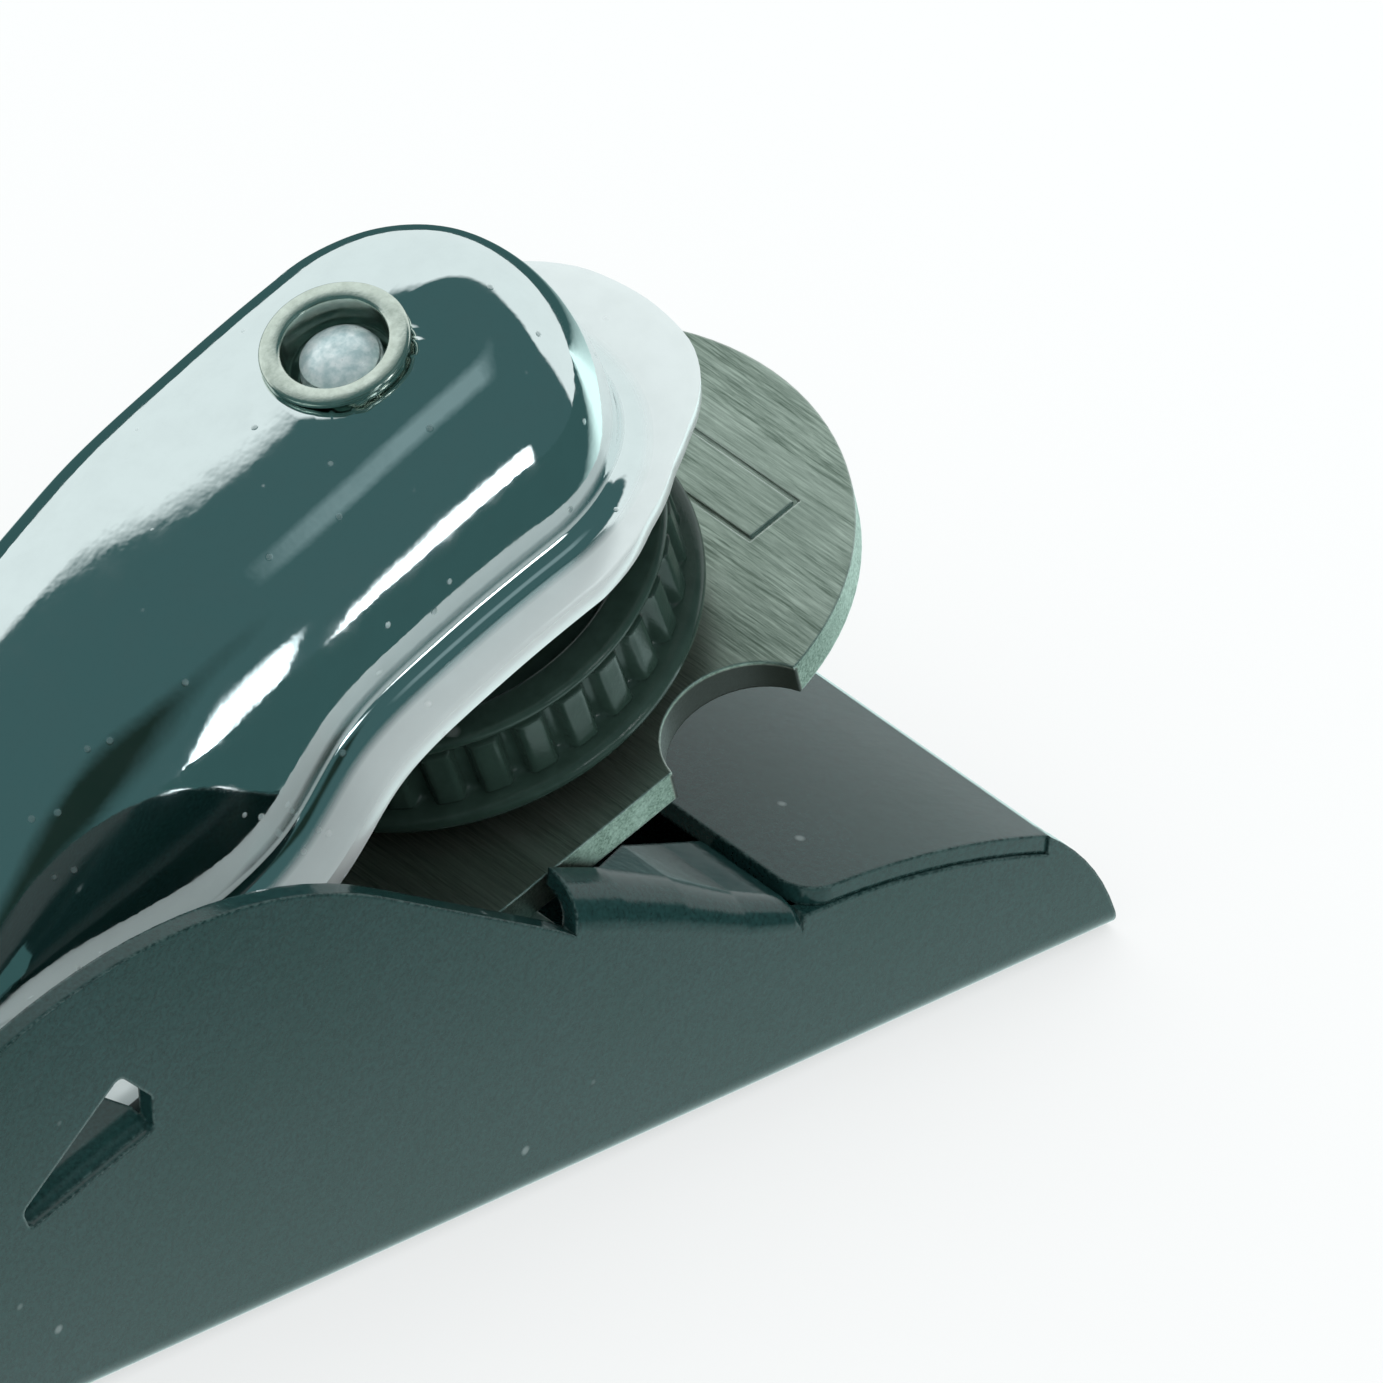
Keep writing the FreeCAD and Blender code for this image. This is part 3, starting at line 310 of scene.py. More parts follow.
def build_cap_chrome(colour):
    """Bright nickel chrome on a deep pressing: tiny pits and soft waves."""
    tree, shader = new_material("cap_chrome")
    pits = place_group(tree, "Specks", Size=1.1, Amount=0.07)["Mask"]
    waves = place_group(tree, "Mottle", Size=5.0)["Value"]
    haze = place_group(tree, "Mottle", Size=2.2)["Value"]
    base = blend_colour(tree, remap(tree, haze, 0.4, 0.7, 0.0, 0.4), colour, shade(colour, 0.91))
    base = blend_colour(tree, calc(tree, "MULTIPLY", pits, 0.7), base, (0.9, 0.95, 0.95))
    tree.links.new(base, shader.inputs["Base Color"])
    rough = calc(tree, "ADD", remap(tree, haze, 0.35, 0.7, 0.03, 0.09), calc(tree, "MULTIPLY", pits, 0.45))
    # Painted pale reflection: the flat brim behind the dome gets a lower metallic and more roughness, so it
    # shows pale.
    bed = place_group(tree, "Bed Place")
    behind = calc(tree, "MAXIMUM", bed["Along"], 0.0)
    foot = remap(tree, bed["Along"], -50.0, -24.0, 7.6, 12.5)
    brim = remap(tree, calc(tree, "SUBTRACT", distance(tree, behind, bed["Across"]), foot), 0.0, 0.7)
    brim = calc(tree, "MULTIPLY", brim, remap(tree, bed["Along"], -47.0, -42.0))
    tree.links.new(remap(tree, brim, 0.0, 1.0, 1.0, 0.35), shader.inputs["Metallic"])
    rough = calc(tree, "ADD", rough, calc(tree, "MULTIPLY", brim, 0.16))
    tree.links.new(rough, shader.inputs["Roughness"])
    bump = add_node(tree, "Bump", {"Height": waves, "Strength": 0.12, "Distance": 0.0002})
    fine = add_node(
        tree, "Bump", {"Height": pits, "Normal": bump.outputs[0], "Strength": 0.25, "Distance": 0.00004}
    )
    tree.links.new(fine.outputs[0], shader.inputs["Normal"])


def build_plain_metal(name, dark, light, rough, metallic=1.0):
    """Plated small parts: a fine crystalline mottle, and edges made brighter as wear and as a painted edge
    highlight.
    """
    tree, shader = new_material(name, Metallic=metallic)
    edge = place_group(tree, "Soft Edge", Radius=0.12)
    mottle = place_group(tree, "Mottle", Size=0.7)["Value"]
    fine = place_group(tree, "Mottle", Size=0.16)["Value"]
    base = blend_colour(tree, remap(tree, mottle, 0.35, 0.65), dark, light)
    # Edges made brighter, partly as wear and partly as a painted edge highlight.
    base = blend_colour(tree, calc(tree, "MULTIPLY", edge["Edge"], 0.4), base, (0.9, 0.93, 0.9))
    tree.links.new(base, shader.inputs["Base Color"])
    tree.links.new(remap(tree, mottle, 0.3, 0.7, rough * 1.3, rough * 0.75), shader.inputs["Roughness"])
    bump = add_node(
        tree, "Bump", {"Height": fine, "Normal": edge["Normal"], "Strength": 0.12, "Distance": 0.00002}
    )
    tree.links.new(bump.outputs[0], shader.inputs["Normal"])


def build_moulding(name, colour, rough):
    """Pressed black moulding compound: gloss skin, faint flow marks and handling haze."""
    tree, shader = new_material(name, Roughness=rough, IOR=1.52)
    edge = place_group(tree, "Soft Edge", Radius=0.25)
    flow = place_group(tree, "Mottle", Size=1.4)["Value"]
    fine = place_group(tree, "Mottle", Size=0.25)["Value"]
    dust = place_group(tree, "Specks", Size=2.4, Amount=0.04)["Mask"]
    base = blend_colour(tree, remap(tree, flow, 0.35, 0.65), shade(colour, 0.88), shade(colour, 1.12))
    base = blend_colour(tree, calc(tree, "MULTIPLY", dust, 0.35), base, (0.3, 0.34, 0.33))
    tree.links.new(base, shader.inputs["Base Color"])
    tree.links.new(remap(tree, flow, 0.35, 0.65, rough * 0.8, rough * 1.25), shader.inputs["Roughness"])
    bump = add_node(
        tree, "Bump", {"Height": fine, "Normal": edge["Normal"], "Strength": 0.08, "Distance": 0.0002}
    )
    tree.links.new(bump.outputs[0], shader.inputs["Normal"])


def build_finishes(sizes, colours):
    build_effects()
    build_enamel(tuple(colours.enamel), sizes.soft_edge)
    build_iron_steel()
    build_cap_chrome(tuple(colours.chrome))
    build_plain_metal("bush_nickel", (0.64, 0.69, 0.61), (0.76, 0.81, 0.73), 0.16)
    # Painted sheen: the clamp screw is only partly metallic and near white, so its dome shows pale.
    build_plain_metal("screw_zinc", (0.5, 0.66, 0.68), (0.88, 0.97, 0.98), 0.35, 0.45)
    build_plain_metal("fixing_zinc", (0.5, 0.6, 0.58), (0.72, 0.82, 0.8), 0.26)
    build_plain_metal("bed_zinc", (0.42, 0.47, 0.45), (0.6, 0.66, 0.63), 0.34)
    build_moulding("wheel_gloss", tuple(colours.moulding), 0.15)
    build_moulding("knob_gloss", shade(colours.moulding, 0.8), 0.12)


# ---------------------------------------------------------------- mesh helpers


def fresh(name):
    """Name the mesh object that was just added, and leave only it selected."""
    made = bpy.context.object
    made.name = name
    made.data.name = name
    return made


def clear_selection():
    bpy.ops.object.select_all(action="DESELECT")


def edit_mesh(mesh_object, work):
    """Change a mesh in edit mode; work gets its bmesh."""
    bpy.context.view_layer.objects.active = mesh_object
    bpy.ops.object.mode_set(mode="EDIT")
    mesh = bmesh.from_edit_mesh(mesh_object.data)
    work(mesh)
    bmesh.update_edit_mesh(mesh_object.data)
    bpy.ops.object.mode_set(mode="OBJECT")


def apply_modifier(mesh_object, kind, **settings):
    clear_selection()
    mesh_object.select_set(True)
    bpy.context.view_layer.objects.active = mesh_object
    modifier = mesh_object.modifiers.new(kind.title(), kind)
    for key, value in settings.items():
        setattr(modifier, key, value)
    bpy.ops.object.modifier_apply(modifier=modifier.name)


def smooth_shade(mesh_object, degrees=35.0):
    clear_selection()
    mesh_object.select_set(True)
    bpy.context.view_layer.objects.active = mesh_object
    bpy.ops.object.shade_smooth_by_angle(angle=math.radians(degrees))


def finish_piece(piece, body, node_names, material, placement=None):
    """Put a finished piece in its place in the frame and say what it stands for."""
    if placement is not None:
        piece.data.transform(placement)
    piece.matrix_world = Matrix.Identity(4)
    piece.data.materials.clear()
    piece.data.materials.append(bpy.data.materials[finish_name(material)])
    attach(piece, body)
    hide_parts(*node_names)
    return piece


# ---------------------------------------------------------------- lever cap

# along the bed and value, in millimetres
CAP_HALF_WIDTH = (
    (-60, 15.0), (-56, 15.6), (-51, 17.3), (-38, 17.5), (-32, 16.6), (-24, 15.4), (-12, 15.3), (0, 15.2),
)
CAP_REAR_RADIUS = (
    (0, 17.2), (8, 17.15), (14, 17.1), (22, 16.7), (30, 16.0), (40, 15.0), (52, 14.4), (66, 14.4), (78, 14.8),
    (90, 15.2),
)
CAP_BRIM = (
    (-60, 1.25), (-56, 3.0), (-51, 6.6), (-47.5, 7.6), (-34, 7.6), (-30, 7.6), (-22, 9.2), (-16, 13.0),
    (-12, 13.8), (-4, 14.2), (4, 14.0), (10, 13.2), (17.3, 12.1),
)
CAP_FOOT = ((-60, 5.0), (-48, 6.6), (-40, 8.6), (-30, 10.8), (-22, 11.7), (-14, 11.5), (0, 11.4))
CAP_TOP = (
    (-60, 1.25), (-56, 3.0), (-51, 6.8), (-47, 9.2), (-42, 13.0), (-34, 19.0), (-26, 23.0), (-18, 24.9),
    (-8, 25.85), (-3.4, 26.18), (2, 26.3),
)
CAP_FRONT = -60.0
CAP_REAR_FOOT = 11.4
CAP_GAUGE = 1.1
CAP_FILLET = 1.2
CAP_CREST = 3.2  # how square a section is at its crest, and how steep at its foot
CAP_WALL = 0.55


def eased(table, x):
    """Smooth curve through the table's pairs, with no overshoot."""
    if x <= table[0][0]:
        return table[0][1]
    if x >= table[-1][0]:
        return table[-1][1]
    steps = [(b[1] - a[1]) / (b[0] - a[0]) for a, b in zip(table, table[1:])]
    slopes = [steps[0]]
    for before, after in zip(steps, steps[1:]):
        slopes.append(0 if before * after <= 0 else 2 * before * after / (before + after))
    slopes.append(steps[-1])
    i = max(k for k in range(len(table) - 1) if table[k][0] <= x)
    (x0, y0), (x1, y1) = table[i], table[i + 1]
    run = x1 - x0
    t = (x - x0) / run
    return (
        (2 * t**3 - 3 * t**2 + 1) * y0
        + (t**3 - 2 * t**2 + t) * run * slopes[i]
        + (3 * t**2 - 2 * t**3) * y1
        + (t**3 - t**2) * run * slopes[i + 1]
    )


def flowing(table, x, reach=1.2):
    """The eased curve with its changes of curvature spread out."""
    weights = (1, 4, 6, 4, 1)
    return sum(w * eased(table, x + (k - 2) * reach) for k, w in enumerate(weights)) / sum(weights)


def cap_profile(foot, rim, brim, crown, steps_dome, steps_fillet, steps_brim):
    """Half of a section of the cap, from its crest to its rim, as (outwards, height) pairs."""
    tall = crown - brim
    fillet = max(0.02, min(CAP_FILLET, 0.35 * tall, 0.6 * (rim - foot)))
    points = []
    for i in range(steps_dome):
        turn = math.pi / 2 * i / steps_dome
        out = foot * math.sin(turn) ** (2 / CAP_CREST)
        points.append((out, brim + fillet + (tall - fillet) * math.cos(turn) ** (2 * CAP_WALL)))
    for i in range(steps_fillet):
        turn = math.pi / 2 * i / steps_fillet
        points.append((foot + fillet * (1 - math.cos(turn)), brim + fillet * (1 - math.sin(turn))))
    for i in range(steps_brim + 1):
        points.append((foot + fillet + (rim - foot - fillet) * i / steps_brim, brim))
    return points


def rounded(corners, radius, steps=4, closed=True):
    """The outline with its corners rounded; the first and last corners of an open one are kept."""
    points = []
    count = len(corners)
    for i, corner in enumerate(corners):
        here = Vector(corner)
        if not closed and i in (0, count - 1):
            points.append(here)
            continue
        before, after = Vector(corners[i - 1]) - here, Vector(corners[(i + 1) % count]) - here
        start = here + before * min(0.45, radius / before.length)
        end = here + after * min(0.45, radius / after.length)
        for k in range(steps + 1):
            t = k / steps
            points.append(start * (1 - t) ** 2 + here * 2 * t * (1 - t) + end * t**2)
    return points


def packed(points, step):
    """The outline with points added so that none are further apart than step."""
    result = [points[0]]
    for a, b in zip(points, points[1:]):
        parts = max(1, math.ceil((b - a).length / step))
        result += [a.lerp(b, k / parts) for k in range(1, parts + 1)]
    return result


def arc(start, middle, end, steps):
    """Points of the circle through three points."""
    (ax, ay), (bx, by), (cx, cy) = start, middle, end
    d = 2 * (ax * (by - cy) + bx * (cy - ay) + cx * (ay - by))
    a2, b2, c2 = ax * ax + ay * ay, bx * bx + by * by, cx * cx + cy * cy
    centre = Vector(
        (
            (a2 * (by - cy) + b2 * (cy - ay) + c2 * (ay - by)) / d,
            (a2 * (cx - bx) + b2 * (ax - cx) + c2 * (bx - ax)) / d,
        )
    )
    first, last = Vector(start) - centre, Vector(end) - centre
    sweep = math.atan2(first.x * last.y - first.y * last.x, first.dot(last))
    return [centre + Matrix.Rotation(sweep * k / steps, 2) @ first for k in range(steps + 1)]


def turned(name, profile, segments, relief=None):
    """A profile of (radius, height) pairs in millimetres turned round Z.

    relief(radius, height, turn) is added to the radius; turn runs from 0 to 1."""
    columns = len(profile) - 1
    clear_selection()
    bpy.ops.mesh.primitive_grid_add(size=1.0, x_subdivisions=columns, y_subdivisions=segments)
    made = fresh(name)

    def shape(mesh):
        for vertex in mesh.verts:
            radius, height = profile[round((vertex.co.x + 0.5) * columns)]
            turn = round((vertex.co.y + 0.5) * segments) / segments
            if relief and radius > 0:
                radius += relief(radius, height, turn % 1.0)
            angle = 2 * math.pi * turn
            vertex.co = Vector((radius * math.cos(angle), radius * math.sin(angle), height)) * MM
        bpy.ops.mesh.select_all(action="SELECT")
        bmesh.update_edit_mesh(made.data)
        bpy.ops.mesh.remove_doubles(threshold=2e-6)
        bpy.ops.mesh.normals_make_consistent(inside=False)

    edit_mesh(made, shape)
    return made


def shoulder(value):
    """A quarter-round step from 0 to 1."""
    held = max(0.0, min(1.0, value))
    return math.sqrt(1 - (1 - held) ** 2)


class PLANE_OT_lever_cap(bpy.types.Operator):
    """Pressed lever cap: domed back, waisted sides, flat brim and the hole for its bush"""

    bl_idname = "plane.lever_cap"
    bl_label = "Lever Cap"

    def execute(self, context):
        sides, turns = 110, 64
        dome, fillet, brim = 30, 7, 6
        rows, columns = 2 * sides + turns, dome + fillet + brim
        clear_selection()
        bpy.ops.mesh.primitive_grid_add(size=1.0, x_subdivisions=columns, y_subdivisions=rows)
        cap = fresh("cap_pressing")

        def cap_lift(along, out, rim_along):
            """Keeps the brim on its own slope behind the dome."""
            share = max(0.0, min(1.0, out / CAP_REAR_FOOT))
            return (flowing(CAP_BRIM, along) - flowing(CAP_BRIM, rim_along)) * share

        def row_points(row):
            """One section, as points in the bed frame."""
            if sides <= row <= sides + turns:
                angle = math.pi / 2 - math.pi * (row - sides) / turns
                radius = eased(CAP_REAR_RADIUS, abs(math.degrees(angle)))
                rim_along = radius * math.cos(angle)
                section = cap_profile(
                    CAP_REAR_FOOT, radius, flowing(CAP_BRIM, rim_along), CAP_TOP[-1][1], dome, fillet, brim
                )
                return [
                    (
                        out * math.cos(angle),
                        -out * math.sin(angle),
                        high + cap_lift(out * math.cos(angle), out, rim_along),
                    )
                    for out, high in section
                ]
            near = row < sides
            step = row / sides if near else (rows - row) / sides
            along = CAP_FRONT * (1 - step)
            section = cap_profile(
                flowing(CAP_FOOT, along), flowing(CAP_HALF_WIDTH, along), flowing(CAP_BRIM, along),
                flowing(CAP_TOP, along), dome, fillet, brim,
            )
            return [(along, -out if near else out, high) for out, high in section]

        cache = [row_points(row) for row in range(rows + 1)]
        hole = bed_frame().inverted() @ SCREW_FRAME

        def shape(mesh):
            for vertex in mesh.verts:
                column = round((vertex.co.x + 0.5) * columns)
                row = round((vertex.co.y + 0.5) * rows)
                vertex.co = Vector(cache[row][column]) * MM
            bpy.ops.mesh.select_all(action="SELECT")
            bmesh.update_edit_mesh(cap.data)
            bpy.ops.mesh.remove_doubles(threshold=2e-5)
            bpy.ops.mesh.normals_make_consistent(inside=False)

        def punch(mesh):
            back = hole.inverted()
            radius = CAP_HOLE * MM

            def off_axis(vertex):
                place = back @ vertex.co
                return math.hypot(place.x, place.y) if place.z > 0.015 else 1.0

            gone = [v for v in mesh.verts if off_axis(v) < 4.0 * MM]
            bmesh.ops.delete(mesh, geom=gone, context="VERTS")
            for vertex in {v for e in mesh.edges if e.is_boundary for v in e.verts}:
                if off_axis(vertex) < 6.0 * MM:
                    place = back @ vertex.co
                    scale = radius / math.hypot(place.x, place.y)
                    vertex.co = hole @ Vector((place.x * scale, place.y * scale, place.z))

        edit_mesh(cap, shape)
        edit_mesh(cap, punch)
        up = sum((f.normal.z for f in cap.data.polygons), 0.0)
        if up < 0:
            cap.data.flip_normals()
        apply_modifier(cap, "SOLIDIFY", thickness=CAP_GAUGE * MM, offset=-1.0, use_even_offset=False)
        apply_modifier(
            cap, "BEVEL", width=0.22 * MM, segments=2, limit_method="ANGLE", angle_limit=math.radians(50)
        )
        smooth_shade(cap, 40)
        finish_piece(cap, "cap", ["lever_cap"], "cap_chrome", bed_frame())
        return {"FINISHED"}


# ---------------------------------------------------------------- clamp screw, bush and wheel


class PLANE_OT_clamp_wheel(bpy.types.Operator):
    """Moulded clamp wheel with a ring of rounded grip pads"""

    bl_idname = "plane.clamp_wheel"
    bl_label = "Clamp Wheel"

    def execute(self, context):
        sizes = context.scene.plane_sizes
        low, tall, rim, upper, hub = WHEEL_LOW, WHEEL_TALL, WHEEL_RIM, WHEEL_UPPER, SCREW_RADIUS
        outline = [
            (hub + 2.02, low + 0.7), (hub + 5.0, low + 0.7), (hub + 5.6, low + 2.4), (rim - 3.4, low + 2.4),
            (rim - 2.8, low), (rim, low), (rim, low + 0.95), (upper - 0.85, low + 1.25),
            (upper - 0.85, low + tall - 1.0), (upper, low + tall - 0.75), (upper, low + tall),
            (upper - 2.2, low + tall), (upper - 3.0, low + 4.4), (hub + 4.4, low + 4.4),
            (hub + 3.8, low + tall - 0.9), (hub + 2.02, low + tall - 0.9),
        ]
        profile = rounded(outline, 0.42)
        profile = packed(profile + profile[:1], 0.42)
        floor, roof = low + 1.05, low + tall - 0.75

        def pads(radius, height, turn):
            if radius < upper - 1.3 or not floor < height < roof or radius > upper - 0.5:
                return 0.0
            across = abs((turn * WHEEL_PADS) % 1.0 - 0.5)
            ends = min(height - floor, roof - height)
            return sizes.pad_depth / MM * shoulder((0.36 - across) / 0.17) * shoulder(ends / 0.55)

        wheel = turned("wheel_moulding", profile, WHEEL_PADS * 14, pads)
        smooth_shade(wheel, 50)
        finish_piece(wheel, "wheel", ["clamp_wheel"], "wheel_gloss", SCREW_FRAME)
        return {"FINISHED"}


class PLANE_OT_clamp_screw(bpy.types.Operator):
    """Domed clamp screw with its rolled thread, and the flanged bush that it turns in"""

    bl_idname = "plane.clamp_screw"
    bl_label = "Clamp Screw and Bush"

    def execute(self, context):
        sizes = context.scene.plane_sizes
        low, top, radius = WHEEL_LOW, SCREW_TOP, SCREW_RADIUS
        foot = [(0, low + 0.9), (1.18, low + 0.9), (1.18, low + 1.3), (radius + 2.0, low + 1.3)]
        foot += [(radius + 2.0, low + 4.6), (radius, low + 4.6)]
        dome = arc((radius - 0.42, top - 0.52), (radius * 0.52, top - 0.12), (0, top), 10)
        profile = packed([Vector(p) for p in foot], 1.0)[:-1]
        profile += packed([Vector((radius, low + 4.6)), Vector((radius, top - 0.95))], 0.1)
        profile += [Vector((radius - 0.2, top - 0.7))] + dome

        def thread(near, height, turn):
            if near < radius - 0.01 or not low + 5.2 < height < top - 0.9:
                return 0.0
            phase = (height / THREAD_PITCH - turn) % 1.0
            return -sizes.thread_depth / MM * abs(2 * phase - 1) ** 0.8

        screw = turned("screw_turning", profile, 72, thread)
        smooth_shade(screw, 35)
        finish_piece(screw, "wheel", ["clamp_screw"], "screw_zinc", SCREW_FRAME)

        bore, barrel, flange, mouth = radius + 0.06, BUSH_BARREL, BUSH_FLANGE, BUSH_MOUTH
        outline = [
            (bore, top - 6.4), (barrel, top - 6.4), (barrel, top + 0.18), (flange, top + 0.18),
            (flange, top + 0.62), (mouth, top + 0.62), (mouth, top - 1.7), (bore, top - 2.2),
        ]
        profile = rounded(outline, 0.2)
        bush = turned("bush_turning", profile + profile[:1], 96)
        smooth_shade(bush, 35)
        finish_piece(bush, "cap", ["cap_bush"], "bush_nickel", SCREW_FRAME)
        return {"FINISHED"}


# ---------------------------------------------------------------- front knob

# millimetres
KNOB_AT = -56.6
KNOB_RADIUS, KNOB_TALL, KNOB_HOLE = 10.0, 15.5, 2.7
KNOB_SINK = 2.3  # depth and reach of the countersink
REST_EDGE, REST_HIGH = 49.0, 12.5  # the toe rest's front edge
REST_SLOPE = math.atan(1.4 / 15)
SEAT_GAP = 0.02


class PLANE_OT_front_knob(bpy.types.Operator):
    """Turned front knob with a countersunk hole"""

    bl_idname = "plane.front_knob"
    bl_label = "Front Knob"

    def execute(self, context):
        radius, tall, hole = KNOB_RADIUS, KNOB_TALL, KNOB_HOLE
        profile = [Vector((hole, 0))]
        for first, middle, last in (
            ((0.74, 0), (0.66, 0.2), (0.84, 0.42)),
            ((0.84, 0.42), (1.0, 0.66), (0.86, 0.88)),
            ((0.86, 0.88), (0.7, 0.97), ((hole + KNOB_SINK) / radius, 1.0)),
        ):
            profile += arc(*((u * radius, v * tall) for u, v in (first, middle, last)), 14)
        profile += [Vector((hole, tall - KNOB_SINK)), Vector((hole, 0))]
        knob = turned("knob_turning", profile, 96)
        smooth_shade(knob, 35)
        floor = REST_HIGH - (-KNOB_AT - REST_EDGE) * math.tan(REST_SLOPE) + SEAT_GAP
        place = Matrix.Translation(Vector((KNOB_AT, 0, floor)) * MM) @ Matrix.Rotation(-REST_SLOPE, 4, "Y")
        finish_piece(knob, "root", ["front_knob"], "knob_gloss", place)
        return {"FINISHED"}


# ---------------------------------------------------------------- studio


def look_through(position, toward, up):
    """A camera or lamp placement that faces toward with the given up direction."""
    back = (position - toward).normalized()
    right = up.cross(back).normalized()
    true_up = back.cross(right)
    turn = Matrix((right, true_up, back)).transposed().to_4x4()
    return Matrix.Translation(position) @ turn


def sky_panel(tree, direction, azimuth, elevation, half_wide, half_tall, soft):
    """Mask of a soft-edged rectangle in the sky; its half sizes are in degrees."""
    a, e = math.radians(azimuth), math.radians(elevation)
    forward = Vector((math.sin(a) * math.cos(e), -math.cos(a) * math.cos(e), math.sin(e)))
    right = forward.cross(Vector((0, 0, 1))).normalized()

    def along(axis):
        part = add_node(tree, "VectorMath", {0: direction, 1: tuple(axis)}, operation="DOT_PRODUCT")
        return part.outputs["Value"]

    ahead = along(forward)
    mask = remap(tree, ahead, 0.0, 0.05)
    for axis, half in ((right, half_wide), (right.cross(forward), half_tall)):
        limit = math.tan(math.radians(half))
        slope = calc(tree, "DIVIDE", along(axis), calc(tree, "MAXIMUM", ahead, 0.02))
        spread = calc(tree, "ABSOLUTE", slope)
        mask = calc(tree, "MULTIPLY", mask, remap(tree, spread, limit, limit * (1 - soft)))
    return mask


# azimuth, elevation, half width, half height (degrees), softness, colour
SKY_PANELS = (
    (146, 0, 78, 65.5, 0.15, (0.82, 0.9, 0.9)),
    (-35, 22, 26, 16, 0.6, (0.01, 0.025, 0.02)),
    (8, 66, 16, 12, 0.6, (0.2, 0.3, 0.31)),
    (24, 0, 8, 8, 0.7, (8.0, 8.4, 8.6)),
    (3, 2, 5, 12, 0.8, (5.0, 5.6, 5.8)),
)
SKY_DARK = (0.05, 0.115, 0.118)
SKY_DOME = (1.08, 1.1, 1.1)
SKY_PALE = (0.98, 1.0, 1.0)


def build_world():
    """Even soft dome for the light, with panels and dark gaps that only reflections show."""
    world = bpy.data.worlds.new("studio")
    world.use_nodes = True
    bpy.context.scene.world = world
    tree = world.node_tree
    direction = add_node(tree, "TexCoord").outputs["Generated"]
    colour = blend_colour(tree, 0.0, SKY_DARK, SKY_DARK)
    for azimuth, elevation, wide, tall, soft, tone in SKY_PANELS:
        mask = sky_panel(tree, direction, azimuth, elevation, wide, tall, soft)
        colour = blend_colour(tree, mask, colour, tone)
    path = add_node(tree, "LightPath").outputs
    colour = blend_colour(tree, path["Is Glossy Ray"], SKY_DOME, colour)
    colour = blend_colour(tree, path["Is Camera Ray"], colour, SKY_PALE)
    tree.links.new(colour, tree.nodes["Background"].inputs["Color"])


def build_floor_paper():
    """Matt pale paper; reflections see it as a painted glow, bright next to the plane and falling off into a
    dark foreground.
    """
    tree, shader = new_material("floor_paper", Roughness=0.8)
    shader.inputs["Base Color"].default_value = (0.93, 0.93, 0.93, 1)
    place = add_node(tree, "TexCoord").outputs["Object"]
    across = add_node(tree, "SeparateXYZ", {0: place}).outputs["Y"]
    away = calc(tree, "SUBTRACT", calc(tree, "ABSOLUTE", across), 0.0205)
    # Painted reflection: for glossy rays the floor glows, bright beside the sole and dark from 45 mm out.
    shown = blend_colour(tree, remap(tree, away, 0.0, 0.045), (0.95, 1.25, 1.22), (0.04, 0.1, 0.1))
    glow = add_node(tree, "Emission", {"Color": shown}).outputs[0]
    pale = add_node(tree, "Emission", {"Color": (*SKY_PALE, 1.0)}).outputs[0]
    path = add_node(tree, "LightPath").outputs
    seen = calc(tree, "MULTIPLY", path["Is Camera Ray"], 0.65)
    both = add_node(tree, "MixShader", {0: seen, 1: shader.outputs[0], 2: pale}).outputs[0]
    both = add_node(tree, "MixShader", {0: path["Is Glossy Ray"], 1: both, 2: glow})
    tree.links.new(both.outputs[0], tree.nodes["Material Output"].inputs["Surface"])


VIEW_BACK = Vector((-0.5925, -0.573, 0.566))  # from the plane to the camera
VIEW_UP = Vector((0.3281, 0.470, 0.8195))


class PLANE_OT_stage(bpy.types.Operator):
    """Pale floor, world and camera"""

    bl_idname = "plane.stage"
    bl_label = "Studio Stage"

    def execute(self, context):
        view = context.scene.plane_view
        bpy.ops.mesh.primitive_plane_add(size=6.0, location=(0, 0, -0.0001))
        floor = context.object
        floor.name = "floor"
        build_floor_paper()
        floor.data.materials.append(bpy.data.materials[finish_name("floor_paper")])
        build_world()
        lens = bpy.data.cameras.new("camera")
        lens.lens = view.focal_length
        lens.sensor_width = 36.0
        lens.clip_start, lens.clip_end = 0.01, 20.0
        camera = bpy.data.objects.new("camera", lens)
        context.scene.collection.objects.link(camera)
        back = VIEW_BACK.normalized()
        target = Vector(view.target)
        camera.matrix_world = look_through(
            target + back * view.distance, target, VIEW_UP
        )
        context.scene.camera = camera
        context.scene.view_settings.view_transform = "Standard"
        return {"FINISHED"}


class PlaneSizes(bpy.types.PropertyGroup):
    soft_edge: FloatProperty(
        name="Soft Edge", description="Radius that the enamelled sheet's edges are softened by",
        default=0.0003, unit="LENGTH", precision=5, min=0.0,
    )
    pad_depth: FloatProperty(
        name="Pad Depth", description="How far the wheel's grip pads stand out",
        default=0.00085, unit="LENGTH", precision=5, min=0.0, max=0.00095,
    )
    thread_depth: FloatProperty(
        name="Thread Depth", description="Depth of the clamp screw's thread", default=0.0004, unit="LENGTH",
        precision=5, min=0.0, max=0.0006,
    )


class PlaneColours(bpy.types.PropertyGroup):
    enamel: FloatVectorProperty(
        name="Enamel", description="Colour of the gloss enamel on the sheet metal", subtype="COLOR",
        default=(0.011, 0.037, 0.036), min=0.0, max=1.0,
    )
    chrome: FloatVectorProperty(
        name="Chrome", description="Tint of the plated lever cap", subtype="COLOR",
        default=(0.82, 0.88, 0.88), min=0.0, max=1.0,
    )
    moulding: FloatVectorProperty(
        name="Moulding", description="Colour of the wheel and the knob", subtype="COLOR",
        default=(0.022, 0.043, 0.034), min=0.0, max=1.0,
    )


class PlaneView(bpy.types.PropertyGroup):
    target: FloatVectorProperty(
        name="Target", description="Point that the camera looks at", default=(0.0612, 0.00195, 0.0088),
        subtype="TRANSLATION", unit="LENGTH", precision=4,
    )
    distance: FloatProperty(
        name="Distance", description="Camera distance from its target", default=3.0, unit="LENGTH", min=0.1
    )
    focal_length: FloatProperty(
        name="Focal Length", description="Lens, in millimetres", default=1391.0, min=20.0
    )


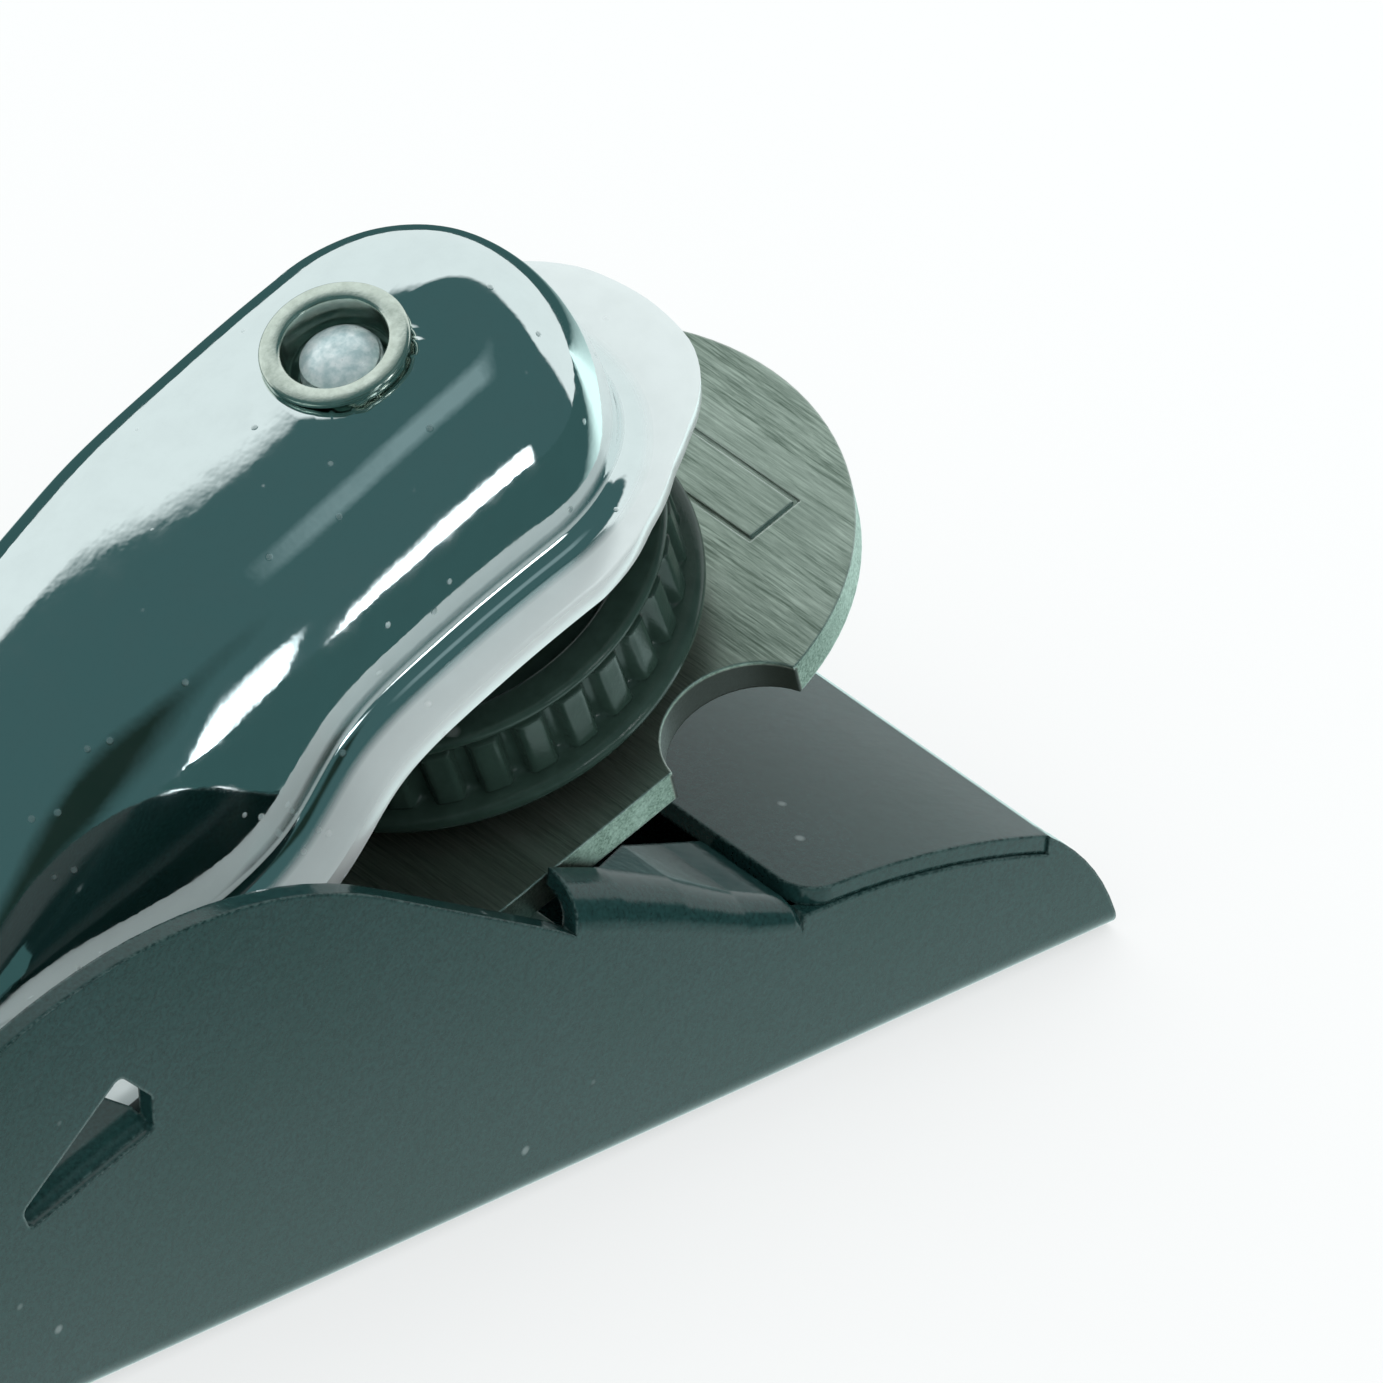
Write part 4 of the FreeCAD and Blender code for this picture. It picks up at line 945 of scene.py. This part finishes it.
NODE_FINISHES = {
    "body_shell": "enamel",
    "heel_rest": "enamel",
    "toe_rest": "enamel",
    "blade": "iron_steel",
    "lever_cap": "cap_chrome",
    "cap_bush": "bush_nickel",
    "clamp_screw": "screw_zinc",
    "clamp_wheel": "wheel_gloss",
    "front_knob": "knob_gloss",
    "blade_bed": "bed_zinc",
}


class PLANE_OT_finishes(bpy.types.Operator):
    """Build every finish and give the sheet metal, screws and mouldings theirs"""

    bl_idname = "plane.finishes"
    bl_label = "Finishes"

    def execute(self, context):
        build_finishes(context.scene.plane_sizes, context.scene.plane_colours)
        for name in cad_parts:
            dress(name, NODE_FINISHES.get(name, "fixing_zinc"))
        return {"FINISHED"}


STEPS = (
    ("plane.finishes", "MATERIAL"),
    ("plane.lever_cap", "MESH_GRID"),
    ("plane.clamp_wheel", "MESH_CYLINDER"),
    ("plane.clamp_screw", "MOD_SCREW"),
    ("plane.front_knob", "MESH_UVSPHERE"),
    ("plane.stage", "SCENE"),
)


class PLANE_PT_build(bpy.types.Panel):
    """Every step of the model, with its sizes and colours"""

    bl_idname = "PLANE_PT_build"
    bl_label = "Hand Plane"
    bl_space_type = "VIEW_3D"
    bl_region_type = "UI"
    bl_category = "Hand Plane"

    def draw(self, context):
        for step, icon in STEPS:
            self.layout.operator(step, icon=icon)
        for group in (context.scene.plane_sizes, context.scene.plane_colours, context.scene.plane_view):
            column = self.layout.box().column()
            for key in group.__annotations__:
                column.prop(group, key)


GROUPS = (("plane_sizes", PlaneSizes), ("plane_colours", PlaneColours), ("plane_view", PlaneView))
CLASSES = tuple(group for _, group in GROUPS) + (
    PLANE_OT_finishes, PLANE_OT_lever_cap, PLANE_OT_clamp_wheel, PLANE_OT_clamp_screw, PLANE_OT_front_knob,
    PLANE_OT_stage, PLANE_PT_build,
)


def register():
    for made in CLASSES:
        bpy.utils.register_class(made)
    for name, group in GROUPS:
        setattr(bpy.types.Scene, name, PointerProperty(type=group))


def unregister():
    for name, _ in GROUPS:
        delattr(bpy.types.Scene, name)
    for made in reversed(CLASSES):
        bpy.utils.unregister_class(made)


def main():
    register()
    bpy.ops.plane.finishes()
    bpy.ops.plane.lever_cap()
    bpy.ops.plane.clamp_wheel()
    bpy.ops.plane.clamp_screw()
    bpy.ops.plane.front_knob()
    bpy.ops.plane.stage()


if __name__ == "__main__":
    main()
